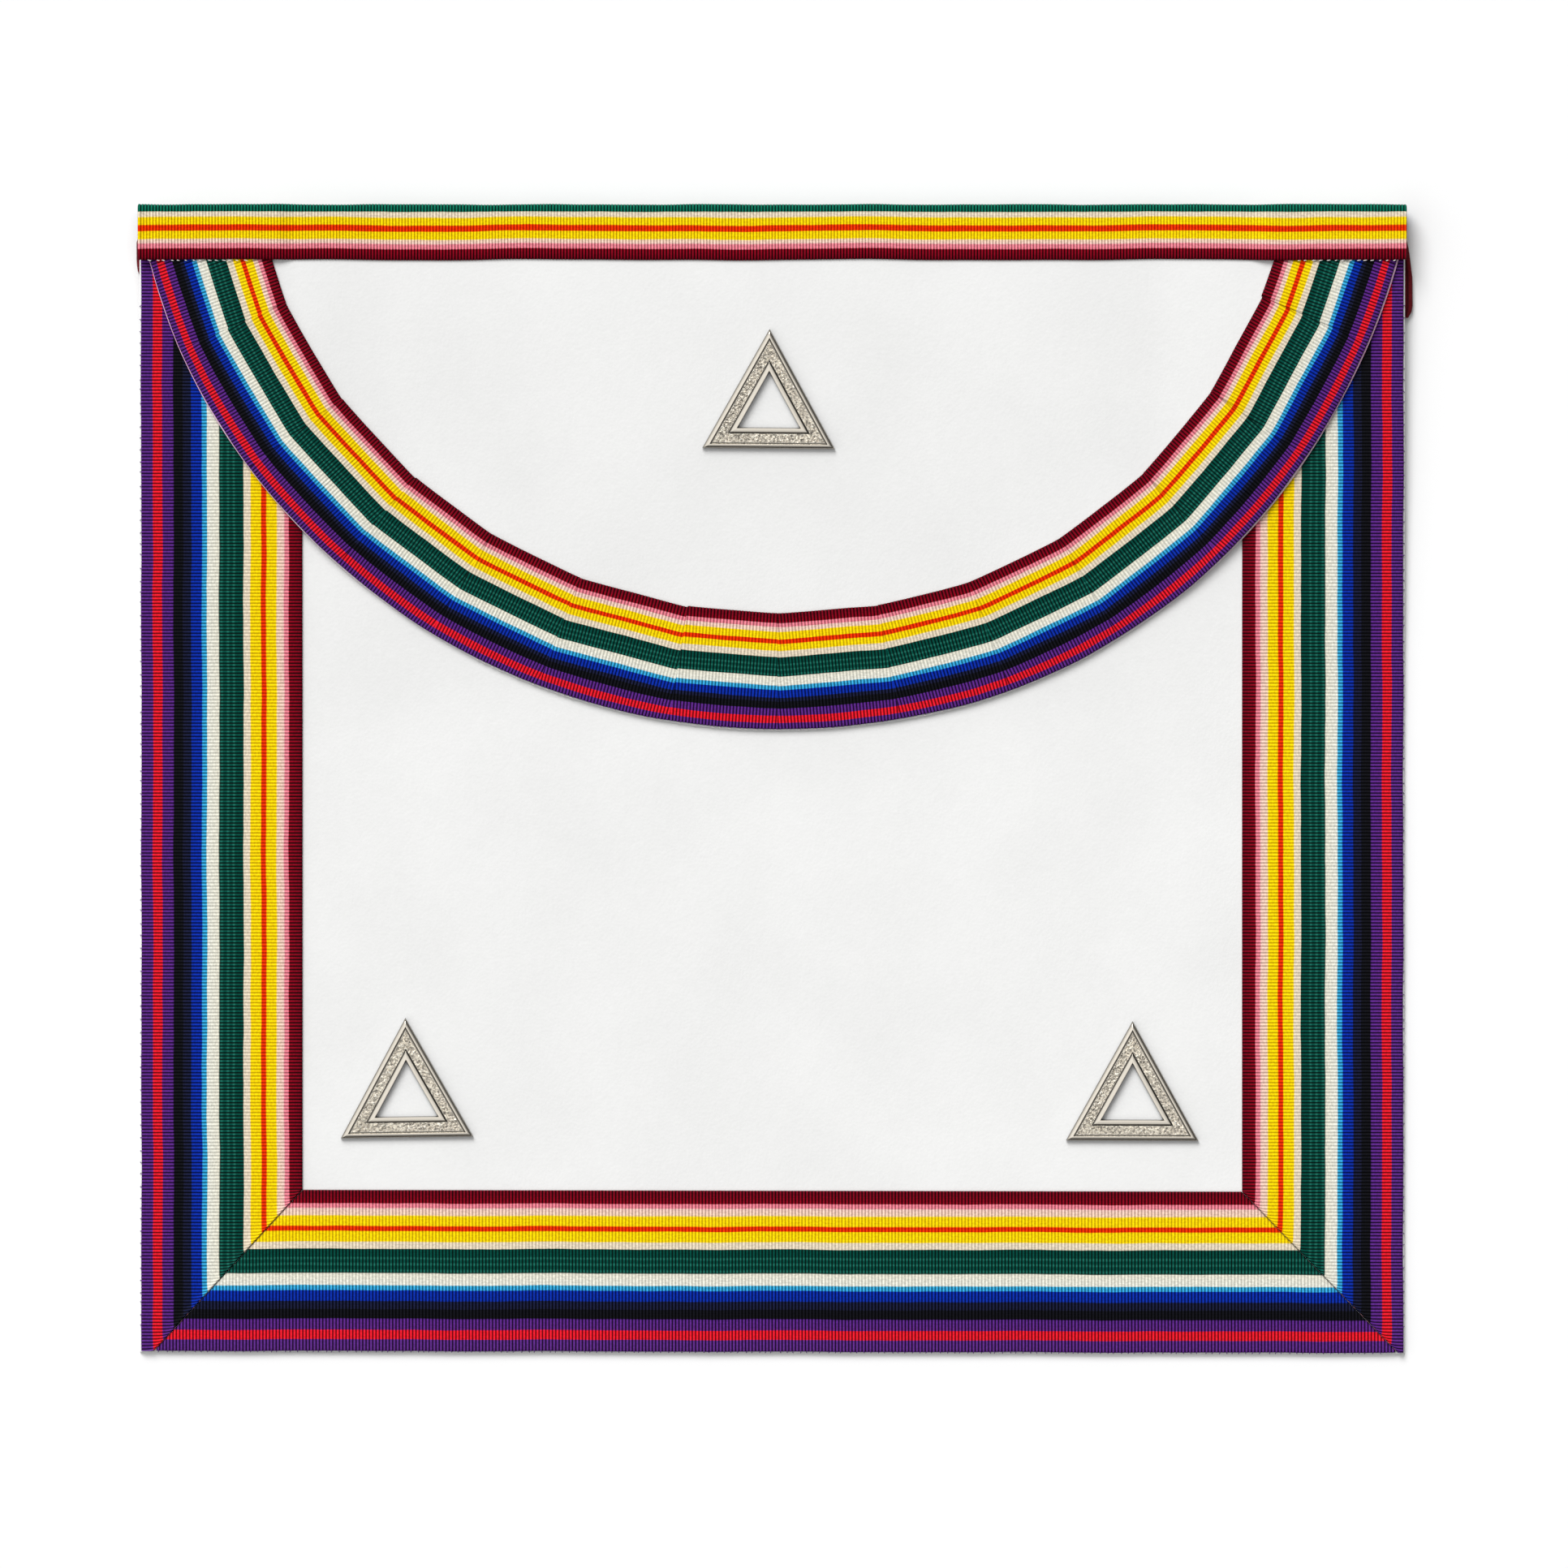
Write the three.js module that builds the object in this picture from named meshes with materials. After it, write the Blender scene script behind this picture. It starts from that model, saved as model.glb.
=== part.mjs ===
// A lodge apron lying face up: a white leather panel with a rainbow ribbon border, a half-round
// flap with the same ribbon tucked round its curve, a waist band folded over the top edge, a web
// belt folded away behind it and three metal triangles.
// Millimetres. +X runs to the right as the apron is looked at, +Y to the waist, +Z off the table.
import * as THREE from 'three';

// Panel and the clearance that every pair of sewn layers keeps
const APRON_WIDTH = 399;
const APRON_DEPTH = 362;
const PANEL_WALL = 1.2;
const LAYER_GAP = 0.25;

// Border ribbon on the two sides and the foot
const RIBBON_WALL = 1.0;
const BORDER_WIDTH = 50.8;
const BORDER_INSET = 0.5;
const MITRE_SHIFT_LEFT = 4.0;
const MITRE_SHIFT_RIGHT = 1.7;
const MITRE_GAP = 0.3;

// Half-round flap and the ribbon tucked round it
const FLAP_WALL = 1.2;
const FLAP_DROP = 166.8;
const FLAP_OVERREACH = 2.3;
const FLAP_SHIFT = 0.9;
const FLAP_SIDE_INSET = 0.5;
const FLAP_EASE = 30;
const FLAP_RIBBON_WIDTH = 37;
const FLAP_RIBBON_INSET = 0.9;
const TUCK_RISE = 0.7;
const TUCK_JOG = 0.6;
const TUCK_RUN = 12;
const TUCK_EDGE = 0.5;

// Waist band folded over the top edge
const BAND_FRONT = 17;
const BAND_BACK = 17;
const BAND_OVERHANG = 0.8;
const BAND_BEND = 0.8;
const BAND_EASE = 22;
const BAND_CLEARANCE = 0.3;

// Web belt behind the top edge, and its plain clasp
const BELT_WIDTH = 25.6;
const BELT_WALL = 1.2;
const BELT_DROP = 10;
const BELT_STUB = 16;
const BELT_REACH_LEFT = 1.1;
const BELT_REACH_RIGHT = 2.3;
const BELT_END_GAP = 4;
const CLASP_LENGTH = 44;
const CLASP_WIDTH = 22;
const CLASP_WALL = 1.1;
const CLASP_CORNER = 4;

// How the leather comes down from the belt to the table
const RISE_RUN = 150;
const RISE_ROUNDING = 0.15;

// Metal triangles
const EMBLEM_BASE = 41.8;
const EMBLEM_HEIGHT = 37.7;
const EMBLEM_BAND = 6.65;
const EMBLEM_WALL = 1.9;
const EMBLEM_SEAT_GAP = 0.3;
const EMBLEM_TOP_DROP = 77.8;
const EMBLEM_SIDE_GAP = 34;
const EMBLEM_FOOT_GAP = 16;

// How finely the sheets are divided
const RISE_STEPS = 20;
const FLAP_COLUMNS = 48;
const FLAP_ROWS = 16;
const BAND_COLUMNS = 40;
const BAND_BEND_STEPS = 3;
const BELT_BEND_STEPS = 6;
const CLASP_CORNER_STEPS = 5;
// Shares of each stretch between tucks, and of the ribbon's width from its outer edge
const STRETCH_COLUMNS = [0, 0.12, 0.3, 0.6];
const RIBBON_ROWS = [1, 0.85, 0.6, 0.3, 0];

// The tucks, from the left end of the flap's ribbon to the right one.
// at: share of the way from the middle of the curve to its end; rise: share of the full tuck.
const TUCKS = [
  { at: -0.884, rise: 1.0 },
  { at: -0.711, rise: 0.8 },
  { at: -0.559, rise: 0.9 },
  { at: -0.424, rise: 0.8 },
  { at: -0.284, rise: 0.9 },
  { at: -0.125, rise: 0.8 },
  { at: 0.003, rise: 1.0 },
  { at: 0.147, rise: 0.8 },
  { at: 0.280, rise: 0.9 },
  { at: 0.421, rise: 1.0 },
  { at: 0.573, rise: 0.9 },
  { at: 0.723, rise: 1.0 },
  { at: 0.881, rise: 1.0 },
];

// Section of a triangle's frame, from its outer foot over both rims to its inner foot.
// inset: share of the frame's width; height: share of its thickness.
const EMBLEM_SECTION = [
  { inset: 0.00, height: 0.00 },
  { inset: 0.00, height: 0.50 },
  { inset: 0.06, height: 0.92 },
  { inset: 0.11, height: 1.00 },
  { inset: 0.17, height: 0.92 },
  { inset: 0.20, height: 0.66 },
  { inset: 0.80, height: 0.66 },
  { inset: 0.83, height: 0.88 },
  { inset: 0.88, height: 0.96 },
  { inset: 0.94, height: 0.88 },
  { inset: 1.00, height: 0.50 },
  { inset: 1.00, height: 0.00 },
];

// Where the belt's folded ends stand out past the panel's side.
// across: share of the belt's width from its upper edge; reach: share of that end's full reach.
const BELT_FOLD_LEFT = [
  { across: 0.00, reach: 1.0 },
  { across: 0.25, reach: 0.5 },
  { across: 0.50, reach: -0.1 },
  { across: 0.75, reach: -0.7 },
  { across: 1.00, reach: -1.3 },
];
const BELT_FOLD_RIGHT = [
  { across: 0.00, reach: 0.25 },
  { across: 0.20, reach: 0.60 },
  { across: 0.50, reach: 0.97 },
  { across: 0.90, reach: 1.0 },
  { across: 1.00, reach: 0.6 },
];

const EMBLEMS = [
  { name: 'emblem_flap', side: 0, turn: -1.0 },
  { name: 'emblem_left', side: -1, turn: 1.0 },
  { name: 'emblem_right', side: 1, turn: -0.2 },
];

// Places worked out from the sizes above
const halfWidth = APRON_WIDTH / 2;
const bandHem = APRON_DEPTH - BAND_FRONT;
const topEdge = APRON_DEPTH - RIBBON_WALL - BAND_CLEARANCE;
const borderOuter = halfWidth - BORDER_INSET;
const borderInner = borderOuter - BORDER_WIDTH;
const borderFoot = BORDER_INSET;
const borderFootInner = BORDER_INSET + BORDER_WIDTH;
const beltTop = APRON_DEPTH - BELT_DROP;
const beltStubTop = 2 * BELT_WALL + LAYER_GAP;
const bandBackUnder = beltStubTop + LAYER_GAP;
const bandBackTop = bandBackUnder + RIBBON_WALL;
const fullLift = bandBackTop + LAYER_GAP;
const flapHalfChord = halfWidth + FLAP_OVERREACH;
const flapRadius = (flapHalfChord ** 2 + FLAP_DROP ** 2) / (2 * FLAP_DROP);
const flapCentreY = APRON_DEPTH - FLAP_DROP + flapRadius;
const flapSide = halfWidth - FLAP_SIDE_INSET;
const ribbonOuterRadius = flapRadius - FLAP_RIBBON_INSET;
const ribbonInnerRadius = ribbonOuterRadius - FLAP_RIBBON_WIDTH;
const ribbonEndY = topEdge - 2 * BAND_CLEARANCE;

const clamp01 = (value) => Math.min(1, Math.max(0, value));

const smooth = (value) => clamp01(value) ** 2 * (3 - 2 * clamp01(value));

function steps(from, to, count) {
  return Array.from({ length: count + 1 }, (_, step) => from + ((to - from) * step) / count);
}

// A straight slope whose two ends are rounded over the given share of its run
function roundedRamp(value, rounding) {
  const t = clamp01(value);
  const bend = 2 * rounding * (1 - rounding);
  if (t < rounding) return t ** 2 / bend;
  if (t > 1 - rounding) return 1 - (1 - t) ** 2 / bend;
  return (t - rounding / 2) / (1 - rounding);
}

// Height of the panel's underside: on the table at the foot, over the belt at the waist
function panelUnder(y) {
  return fullLift * roundedRamp((y - (bandHem - RISE_RUN)) / RISE_RUN, RISE_ROUNDING);
}

function borderUnder(y) {
  return panelUnder(y) + PANEL_WALL + LAYER_GAP;
}

// The flap lies on the panel in the middle and on the border ribbons at the sides
function flapUnder(x, y) {
  const onBorder = smooth((Math.abs(x) - (borderInner - FLAP_EASE)) / FLAP_EASE);
  return borderUnder(y) + (RIBBON_WALL + LAYER_GAP) * onBorder;
}

function flapRibbonUnder(x, y) {
  return flapUnder(x, y) + FLAP_WALL + LAYER_GAP;
}

// The band lies on the bare flap in the middle and on the flap's ribbon at the sides
function bandFrontUnder(x) {
  const ribbonStart = Math.sqrt(ribbonInnerRadius ** 2 - (flapCentreY - bandHem) ** 2);
  const ramp = (Math.abs(x) - (ribbonStart - BAND_EASE)) / (BAND_EASE - FLAP_SHIFT - TUCK_JOG);
  return flapRibbonUnder(x, bandHem) + (RIBBON_WALL + LAYER_GAP) * smooth(ramp);
}

// Closed sheet over a grid of stations. place(column, row) gives the point on the sheet's face
// and the point on its back that lies under it.
function sheetGeometry(columns, rows, place) {
  const indices = [];
  const across = columns.length;
  const backStart = across * rows.length;
  const face = [];
  const back = [];
  rows.forEach((row) => {
    columns.forEach((column) => {
      const pair = place(column, row);
      face.push(...pair.face);
      back.push(...pair.back);
    });
  });
  const at = (column, row) => row * across + column;
  const quad = (a, b, c, d) => indices.push(a, b, c, a, c, d);
  for (let row = 0; row < rows.length - 1; row += 1) {
    for (let column = 0; column < across - 1; column += 1) {
      const corners = [at(column, row), at(column + 1, row), at(column + 1, row + 1), at(column, row + 1)];
      quad(...corners);
      quad(...corners.reverse().map((corner) => corner + backStart));
    }
  }
  const wall = (a, b) => quad(a, a + backStart, b + backStart, b);
  for (let column = 0; column < across - 1; column += 1) {
    wall(at(column, 0), at(column + 1, 0));
    wall(at(column + 1, rows.length - 1), at(column, rows.length - 1));
  }
  for (let row = 0; row < rows.length - 1; row += 1) {
    wall(at(across - 1, row), at(across - 1, row + 1));
    wall(at(0, row + 1), at(0, row));
  }
  return closedGeometry([...face, ...back], indices);
}

// Indexed geometry whose faces point out, whichever way its grid ran
function closedGeometry(positions, indices) {
  const geometry = new THREE.BufferGeometry();
  geometry.setAttribute('position', new THREE.Float32BufferAttribute(positions, 3));
  geometry.setIndex(enclosedVolume(positions, indices) < 0 ? indices.reverse() : indices);
  geometry.computeVertexNormals();
  return geometry;
}

function enclosedVolume(positions, indices) {
  const corner = (index) => new THREE.Vector3().fromArray(positions, 3 * index);
  let volume = 0;
  for (let first = 0; first < indices.length; first += 3) {
    const [a, b, c] = indices.slice(first, first + 3).map(corner);
    volume += a.dot(b.cross(c)) / 6;
  }
  return volume;
}

// Sheet of one thickness lying on a known height
function layerGeometry(columns, rows, plan, under, wall) {
  return sheetGeometry(columns, rows, (column, row) => {
    const { x, y } = plan(column, row);
    const z = under(x, y);
    return { face: [x, y, z + wall], back: [x, y, z] };
  });
}

// Stations along Y from a start to the top edge, close together where the panel bends
function depthStations(start) {
  const rise = steps(bandHem - RISE_RUN, bandHem, RISE_STEPS).filter((y) => y > start + 1);
  return [start, ...rise, topEdge];
}

function panelGeometry() {
  const plan = (x, y) => ({ x, y });
  const under = (x, y) => panelUnder(y);
  return layerGeometry([-halfWidth, halfWidth], depthStations(0), plan, under, PANEL_WALL);
}

// One side of the border. Its foot is cut along the mitre, which starts a little in from the corner.
function borderSideGeometry(side, mitreShift) {
  const cut = [
    { x: borderOuter, foot: borderFoot },
    { x: borderOuter - mitreShift, foot: borderFoot },
    { x: borderInner, foot: borderFootInner },
  ];
  const rows = depthStations(borderFootInner);
  const plan = (column, y) => ({
    x: side * cut[column].x,
    y: y === rows[0] ? cut[column].foot : y,
  });
  return layerGeometry([0, 1, 2], rows, plan, (x, y) => borderUnder(y), RIBBON_WALL);
}

// The foot of the border, between the two mitres
function borderFootGeometry() {
  const cut = MITRE_GAP * Math.SQRT2;
  const ends = [
    { y: borderFoot, left: MITRE_SHIFT_LEFT - borderOuter, right: borderOuter - MITRE_SHIFT_RIGHT },
    { y: borderFootInner, left: -borderInner, right: borderInner },
  ];
  const plan = (column, row) => {
    const { y, left, right } = ends[row];
    return { x: column === 0 ? left + cut : right - cut, y };
  };
  return layerGeometry([0, 1], [0, 1], plan, (x, y) => borderUnder(y), RIBBON_WALL);
}

function flapPanelGeometry() {
  const left = -flapSide - FLAP_SHIFT;
  const right = flapSide - FLAP_SHIFT;
  const columns = steps(Math.asin(left / flapRadius), Math.asin(right / flapRadius), FLAP_COLUMNS);
  const plan = (angle, share) => {
    const arcY = flapCentreY - flapRadius * Math.cos(angle);
    return { x: FLAP_SHIFT + flapRadius * Math.sin(angle), y: arcY + (topEdge - arcY) * share };
  };
  return layerGeometry(columns, steps(0, 1, FLAP_ROWS), plan, flapUnder, FLAP_WALL);
}

// Where a ring of the flap's ribbon ends: at the top edge, or at the panel's side if that is nearer
function ribbonEndAngle(radius) {
  const atTop = Math.acos((flapCentreY - ribbonEndY) / radius);
  const atSide = Math.asin(Math.min(1, (flapSide - FLAP_SHIFT) / radius));
  return Math.min(atTop, atSide);
}

// The ribbon's stretches between tucks, each with its two end angles and the tuck that starts it
function ribbonStretches() {
  const curveEnd = ribbonEndAngle(ribbonOuterRadius);
  const tucks = TUCKS.map(({ at, rise }) => ({ angle: at * curveEnd, rise }));
  const starts = [{ angle: -curveEnd, rise: 0 }, ...tucks];
  return starts.map(({ angle, rise }, index) => ({
    from: angle,
    to: index < tucks.length ? tucks[index].angle : curveEnd,
    rise,
    first: index === 0,
    last: index === tucks.length,
  }));
}

// A point of the flap's ribbon. across runs from 0 at its inner edge to 1 at its outer edge.
// Between tucks the ribbon runs straight at its inner edge and eases into the curve at its outer
// edge, and each stretch starts lapped over the one before it.
function ribbonPoint(stretch, along, across) {
  const ring = ribbonInnerRadius + FLAP_RIBBON_WIDTH * across;
  const from = stretch.first ? -ribbonEndAngle(ring) : stretch.from;
  const to = stretch.last ? ribbonEndAngle(ring) : stretch.to;
  const angle = from + (to - from) * along;
  const straightness = 1 - smooth((across - 0.5) / 0.5);
  const chord = 1 / Math.cos(angle - (from + to) / 2) - 1;
  const distance = along * (to - from) * ring;
  const lap = stretch.rise * (1 - smooth(distance / TUCK_RUN));
  const radius = ring * (1 + chord * straightness) - TUCK_JOG * lap * (1 - across) ** 3;
  const x = FLAP_SHIFT + radius * Math.sin(angle);
  const y = flapCentreY - radius * Math.cos(angle);
  return { x, y, lift: TUCK_RISE * lap * (1 - across) };
}

function flapRibbonGeometry() {
  const columns = [];
  ribbonStretches().forEach((stretch) => {
    const length = (stretch.to - stretch.from) * ribbonOuterRadius;
    const edge = stretch.last ? 1 : 1 - TUCK_EDGE / length;
    [...STRETCH_COLUMNS, edge].forEach((along) => columns.push({ stretch, along }));
  });
  return sheetGeometry(columns, RIBBON_ROWS, ({ stretch, along }, across) => {
    const { x, y, lift } = ribbonPoint(stretch, along, across);
    const z = flapRibbonUnder(x, y);
    return { face: [x, y, z + RIBBON_WALL + lift], back: [x, y, z] };
  });
}

// Directions round each corner of the band's fold, from the flat side to the fold
const bendTurns = steps(0, Math.PI / 2, BAND_BEND_STEPS);

// The band runs from its front hem up to the fold, round the top edge and back to its rear hem
function bandGeometry() {
  const reach = halfWidth + BAND_OVERHANG;
  const columns = [-reach, ...steps(-halfWidth, halfWidth, BAND_COLUMNS), reach];
  const rows = [
    { hem: BAND_FRONT, front: true },
    ...bendTurns.map((turn) => ({ turn, front: true })),
    ...bendTurns.toReversed().map((turn) => ({ turn, front: false })),
    { hem: BAND_BACK, front: false },
  ];
  const outer = BAND_BEND + RIBBON_WALL;
  return sheetGeometry(columns, rows, (x, { hem, turn, front }) => {
    const inside = front ? bandFrontUnder(x) : bandBackTop;
    const up = front ? 1 : -1;
    if (hem !== undefined) {
      const y = APRON_DEPTH - hem;
      return { face: [x, y, inside + up * RIBBON_WALL], back: [x, y, inside] };
    }
    const centreY = APRON_DEPTH - outer;
    const centreZ = inside - up * BAND_BEND;
    const bend = (radius) => [
      x,
      centreY + radius * Math.sin(turn),
      centreZ + up * radius * Math.cos(turn),
    ];
    return { face: bend(outer), back: bend(BAND_BEND) };
  });
}

// One half of the belt: a short end sewn under the waist band, a fold that stands out past the
// panel's side, and the run back along the table to the clasp.
function beltGeometry(side, reachTable, reach) {
  const bendRadius = LAYER_GAP / 2;
  const outer = bendRadius + BELT_WALL;
  const turns = steps(0, Math.PI, BELT_BEND_STEPS);
  const rows = [{ x: halfWidth - BELT_STUB, turn: 0 }, ...turns.map((turn) => ({ turn }))];
  rows.push({ x: BELT_END_GAP / 2, turn: Math.PI });
  return sheetGeometry(reachTable, rows, (section, { x, turn }) => {
    const y = beltTop - BELT_WIDTH * section.across;
    const bendX = halfWidth + reach * section.reach - outer;
    const around = (radius) => [
      side * (x ?? bendX + radius * Math.sin(turn)),
      y,
      outer + radius * Math.cos(turn),
    ];
    return { face: around(outer), back: around(bendRadius) };
  });
}

function claspGeometry() {
  const x = CLASP_LENGTH / 2;
  const y = CLASP_WIDTH / 2;
  const r = CLASP_CORNER;
  const plate = new THREE.Shape();
  plate.moveTo(r - x, -y);
  plate.lineTo(x - r, -y);
  plate.absarc(x - r, r - y, r, -Math.PI / 2, 0, false);
  plate.lineTo(x, y - r);
  plate.absarc(x - r, y - r, r, 0, Math.PI / 2, false);
  plate.lineTo(r - x, y);
  plate.absarc(r - x, y - r, r, Math.PI / 2, Math.PI, false);
  plate.lineTo(-x, r - y);
  plate.absarc(r - x, r - y, r, Math.PI, 1.5 * Math.PI, false);
  const options = { depth: CLASP_WALL, bevelEnabled: false, curveSegments: CLASP_CORNER_STEPS };
  return new THREE.ExtrudeGeometry(plate, options);
}

// Triangle frame standing on the middle of its base. Every inset of a triangle is the same
// triangle drawn in towards the centre of the circle inside it.
function emblemGeometry() {
  const slant = Math.hypot(EMBLEM_BASE / 2, EMBLEM_HEIGHT);
  const inradius = (EMBLEM_BASE * EMBLEM_HEIGHT) / (EMBLEM_BASE + 2 * slant);
  const corners = [
    [-EMBLEM_BASE / 2, 0],
    [EMBLEM_BASE / 2, 0],
    [0, EMBLEM_HEIGHT],
  ];
  const positions = [];
  const indices = [];
  const count = EMBLEM_SECTION.length;
  corners.forEach(([cornerX, cornerY]) => {
    EMBLEM_SECTION.forEach(({ inset, height }) => {
      const scale = 1 - (inset * EMBLEM_BAND) / inradius;
      const y = inradius + (cornerY - inradius) * scale;
      positions.push(cornerX * scale, y, height * EMBLEM_WALL);
    });
  });
  corners.forEach((_, corner) => {
    const next = (corner + 1) % corners.length;
    EMBLEM_SECTION.forEach((_section, point) => {
      const following = (point + 1) % count;
      const a = corner * count + point;
      const b = next * count + point;
      const c = next * count + following;
      const d = corner * count + following;
      indices.push(a, b, c, a, c, d);
    });
  });
  return closedGeometry(positions, indices);
}

// Each triangle lies on the leather under it, tipped where that slopes
function placeEmblem(mesh, { side, turn }) {
  const onFlap = side === 0;
  const x = side * (borderInner - EMBLEM_SIDE_GAP);
  const y = onFlap ? APRON_DEPTH - EMBLEM_TOP_DROP : borderFootInner + EMBLEM_FOOT_GAP;
  const leather = onFlap ? FLAP_WALL + flapUnder(x, y) : PANEL_WALL + panelUnder(y);
  const slope = (panelUnder(y + EMBLEM_HEIGHT) - panelUnder(y)) / EMBLEM_HEIGHT;
  mesh.rotation.z = THREE.MathUtils.degToRad(turn);
  const seat = new THREE.Group();
  seat.position.set(x, y, leather + EMBLEM_SEAT_GAP);
  seat.rotation.x = Math.atan(slope);
  seat.add(mesh);
  return seat;
}

const leather = () => new THREE.MeshStandardMaterial({ color: 0xf2f2f0, roughness: 0.6, metalness: 0 });
const ribbon = () => new THREE.MeshStandardMaterial({ color: 0x0c4638, roughness: 0.55, metalness: 0 });
const webbing = () => new THREE.MeshStandardMaterial({ color: 0x5a1018, roughness: 0.75, metalness: 0 });
const nickel = () => new THREE.MeshStandardMaterial({ color: 0xb9b3a6, roughness: 0.3, metalness: 1 });

function named(name, geometry, material) {
  const mesh = new THREE.Mesh(geometry, material);
  mesh.name = name;
  return mesh;
}

function buildApron() {
  const apron = new THREE.Group();
  apron.add(named('apron_panel', panelGeometry(), leather()));
  apron.add(named('border_left', borderSideGeometry(-1, MITRE_SHIFT_LEFT), ribbon()));
  apron.add(named('border_right', borderSideGeometry(1, MITRE_SHIFT_RIGHT), ribbon()));
  apron.add(named('border_foot', borderFootGeometry(), ribbon()));
  apron.add(named('flap_panel', flapPanelGeometry(), leather()));
  apron.add(named('flap_ribbon', flapRibbonGeometry(), ribbon()));
  apron.add(named('waist_band', bandGeometry(), ribbon()));
  apron.add(named('belt_left', beltGeometry(-1, BELT_FOLD_LEFT, BELT_REACH_LEFT), webbing()));
  apron.add(named('belt_right', beltGeometry(1, BELT_FOLD_RIGHT, BELT_REACH_RIGHT), webbing()));
  const clasp = named('belt_clasp', claspGeometry(), nickel());
  clasp.position.set(0, beltTop - BELT_WIDTH / 2, BELT_WALL + LAYER_GAP);
  apron.add(clasp);
  EMBLEMS.forEach((emblem) => {
    apron.add(placeEmblem(named(emblem.name, emblemGeometry(), nickel()), emblem));
  });
  return apron;
}

// The origin is the middle of the apron's box, on the table
const apron = buildApron();
apron.updateMatrixWorld(true);
const box = new THREE.Box3().setFromObject(apron, true);
const middle = box.getCenter(new THREE.Vector3());
apron.position.set(-middle.x, -middle.y, -box.min.z);

export default apron;
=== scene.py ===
"""A lodge apron laid face up: white lambskin, rainbow grosgrain ribbon, a web belt and plated triangles.

Lengths are millimetres until a mesh is made. Shapes are worked out in the apron's own plan: x from
its centre line, y from its foot edge up to the waist, z off the table.
"""
import logging
import math
from collections.abc import Callable, Sequence
from dataclasses import dataclass, field
from enum import Enum
from functools import partial

import bpy
import numpy as np
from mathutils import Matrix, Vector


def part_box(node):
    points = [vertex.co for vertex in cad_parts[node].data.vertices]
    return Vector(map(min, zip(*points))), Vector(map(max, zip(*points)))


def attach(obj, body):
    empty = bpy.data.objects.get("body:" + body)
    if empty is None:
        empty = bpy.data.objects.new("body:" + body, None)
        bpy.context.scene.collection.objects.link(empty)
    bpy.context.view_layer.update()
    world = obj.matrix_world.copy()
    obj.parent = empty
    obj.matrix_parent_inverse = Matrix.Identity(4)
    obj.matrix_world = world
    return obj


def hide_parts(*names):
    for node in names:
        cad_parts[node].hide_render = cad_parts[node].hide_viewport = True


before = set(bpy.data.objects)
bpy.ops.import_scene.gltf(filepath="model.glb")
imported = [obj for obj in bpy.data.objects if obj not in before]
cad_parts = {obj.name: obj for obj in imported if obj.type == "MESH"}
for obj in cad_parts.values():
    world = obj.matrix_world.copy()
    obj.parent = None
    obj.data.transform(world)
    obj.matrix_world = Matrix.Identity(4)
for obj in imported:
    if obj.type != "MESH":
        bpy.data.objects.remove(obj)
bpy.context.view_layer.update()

MM = 0.001
BODY = "root"

Stops = list[tuple[float, str]]

log = logging.getLogger("apron")


class Side(Enum):
    """The two sides of the apron, as its face is looked at."""

    LEFT = -1
    RIGHT = 1


class Cut(Enum):
    """The three widths of grosgrain that the apron is trimmed with."""

    BORDER = "border"
    FLAP = "flap"
    BAND = "band"


def clamp(value: np.ndarray) -> np.ndarray:
    """The value held between 0 and 1."""
    return np.clip(value, 0.0, 1.0)


def smooth(value: np.ndarray) -> np.ndarray:
    """A soft step from 0 to 1."""
    held = clamp(value)
    return held**2 * (3 - 2 * held)


def bell(value: np.ndarray, half: float) -> np.ndarray:
    """A soft hump: 1 at nothing, and faded out past twice the half width."""
    return np.exp(-((value / half) ** 2))


def fade(value: np.ndarray, run: float) -> np.ndarray:
    """1 at nothing, dying away over the run."""
    return np.exp(-value / run)


def rolled(from_edge: np.ndarray, radius: float) -> np.ndarray:
    """How far a rounded edge falls away, as a share: 1 at the edge and 0 from the radius inwards."""
    return 1 - np.sqrt(1 - clamp(1 - from_edge / radius) ** 2)


def widened(column: np.ndarray, like: np.ndarray) -> np.ndarray:
    """One value a row, repeated to the width of another array."""
    return np.repeat(column[:, None], like.shape[1], axis=1)


def joined(*parts: np.ndarray) -> np.ndarray:
    """Arrays of rows set side by side."""
    return np.concatenate(parts, axis=1)


def drift(along: np.ndarray, amount: float, length: float, seed: int) -> np.ndarray:
    """A slow wander, as hand-laid cloth has.

    Args:
        along: places along the cloth, in millimetres.
        amount: the widest wander, in millimetres.
        length: the usual distance from wave to wave, in millimetres.
        seed: picks the waves.

    Returns:
        The sideways shift at each place.
    """
    rng = np.random.default_rng(seed)
    total = np.zeros_like(along, dtype=float)
    shares = (1.0, 0.55, 0.3)
    for share in shares:
        phase = rng.uniform(0, 2 * math.pi)
        total += share * np.sin(2 * math.pi * along / (length * share) + phase)
    return total * amount / sum(shares)


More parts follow.
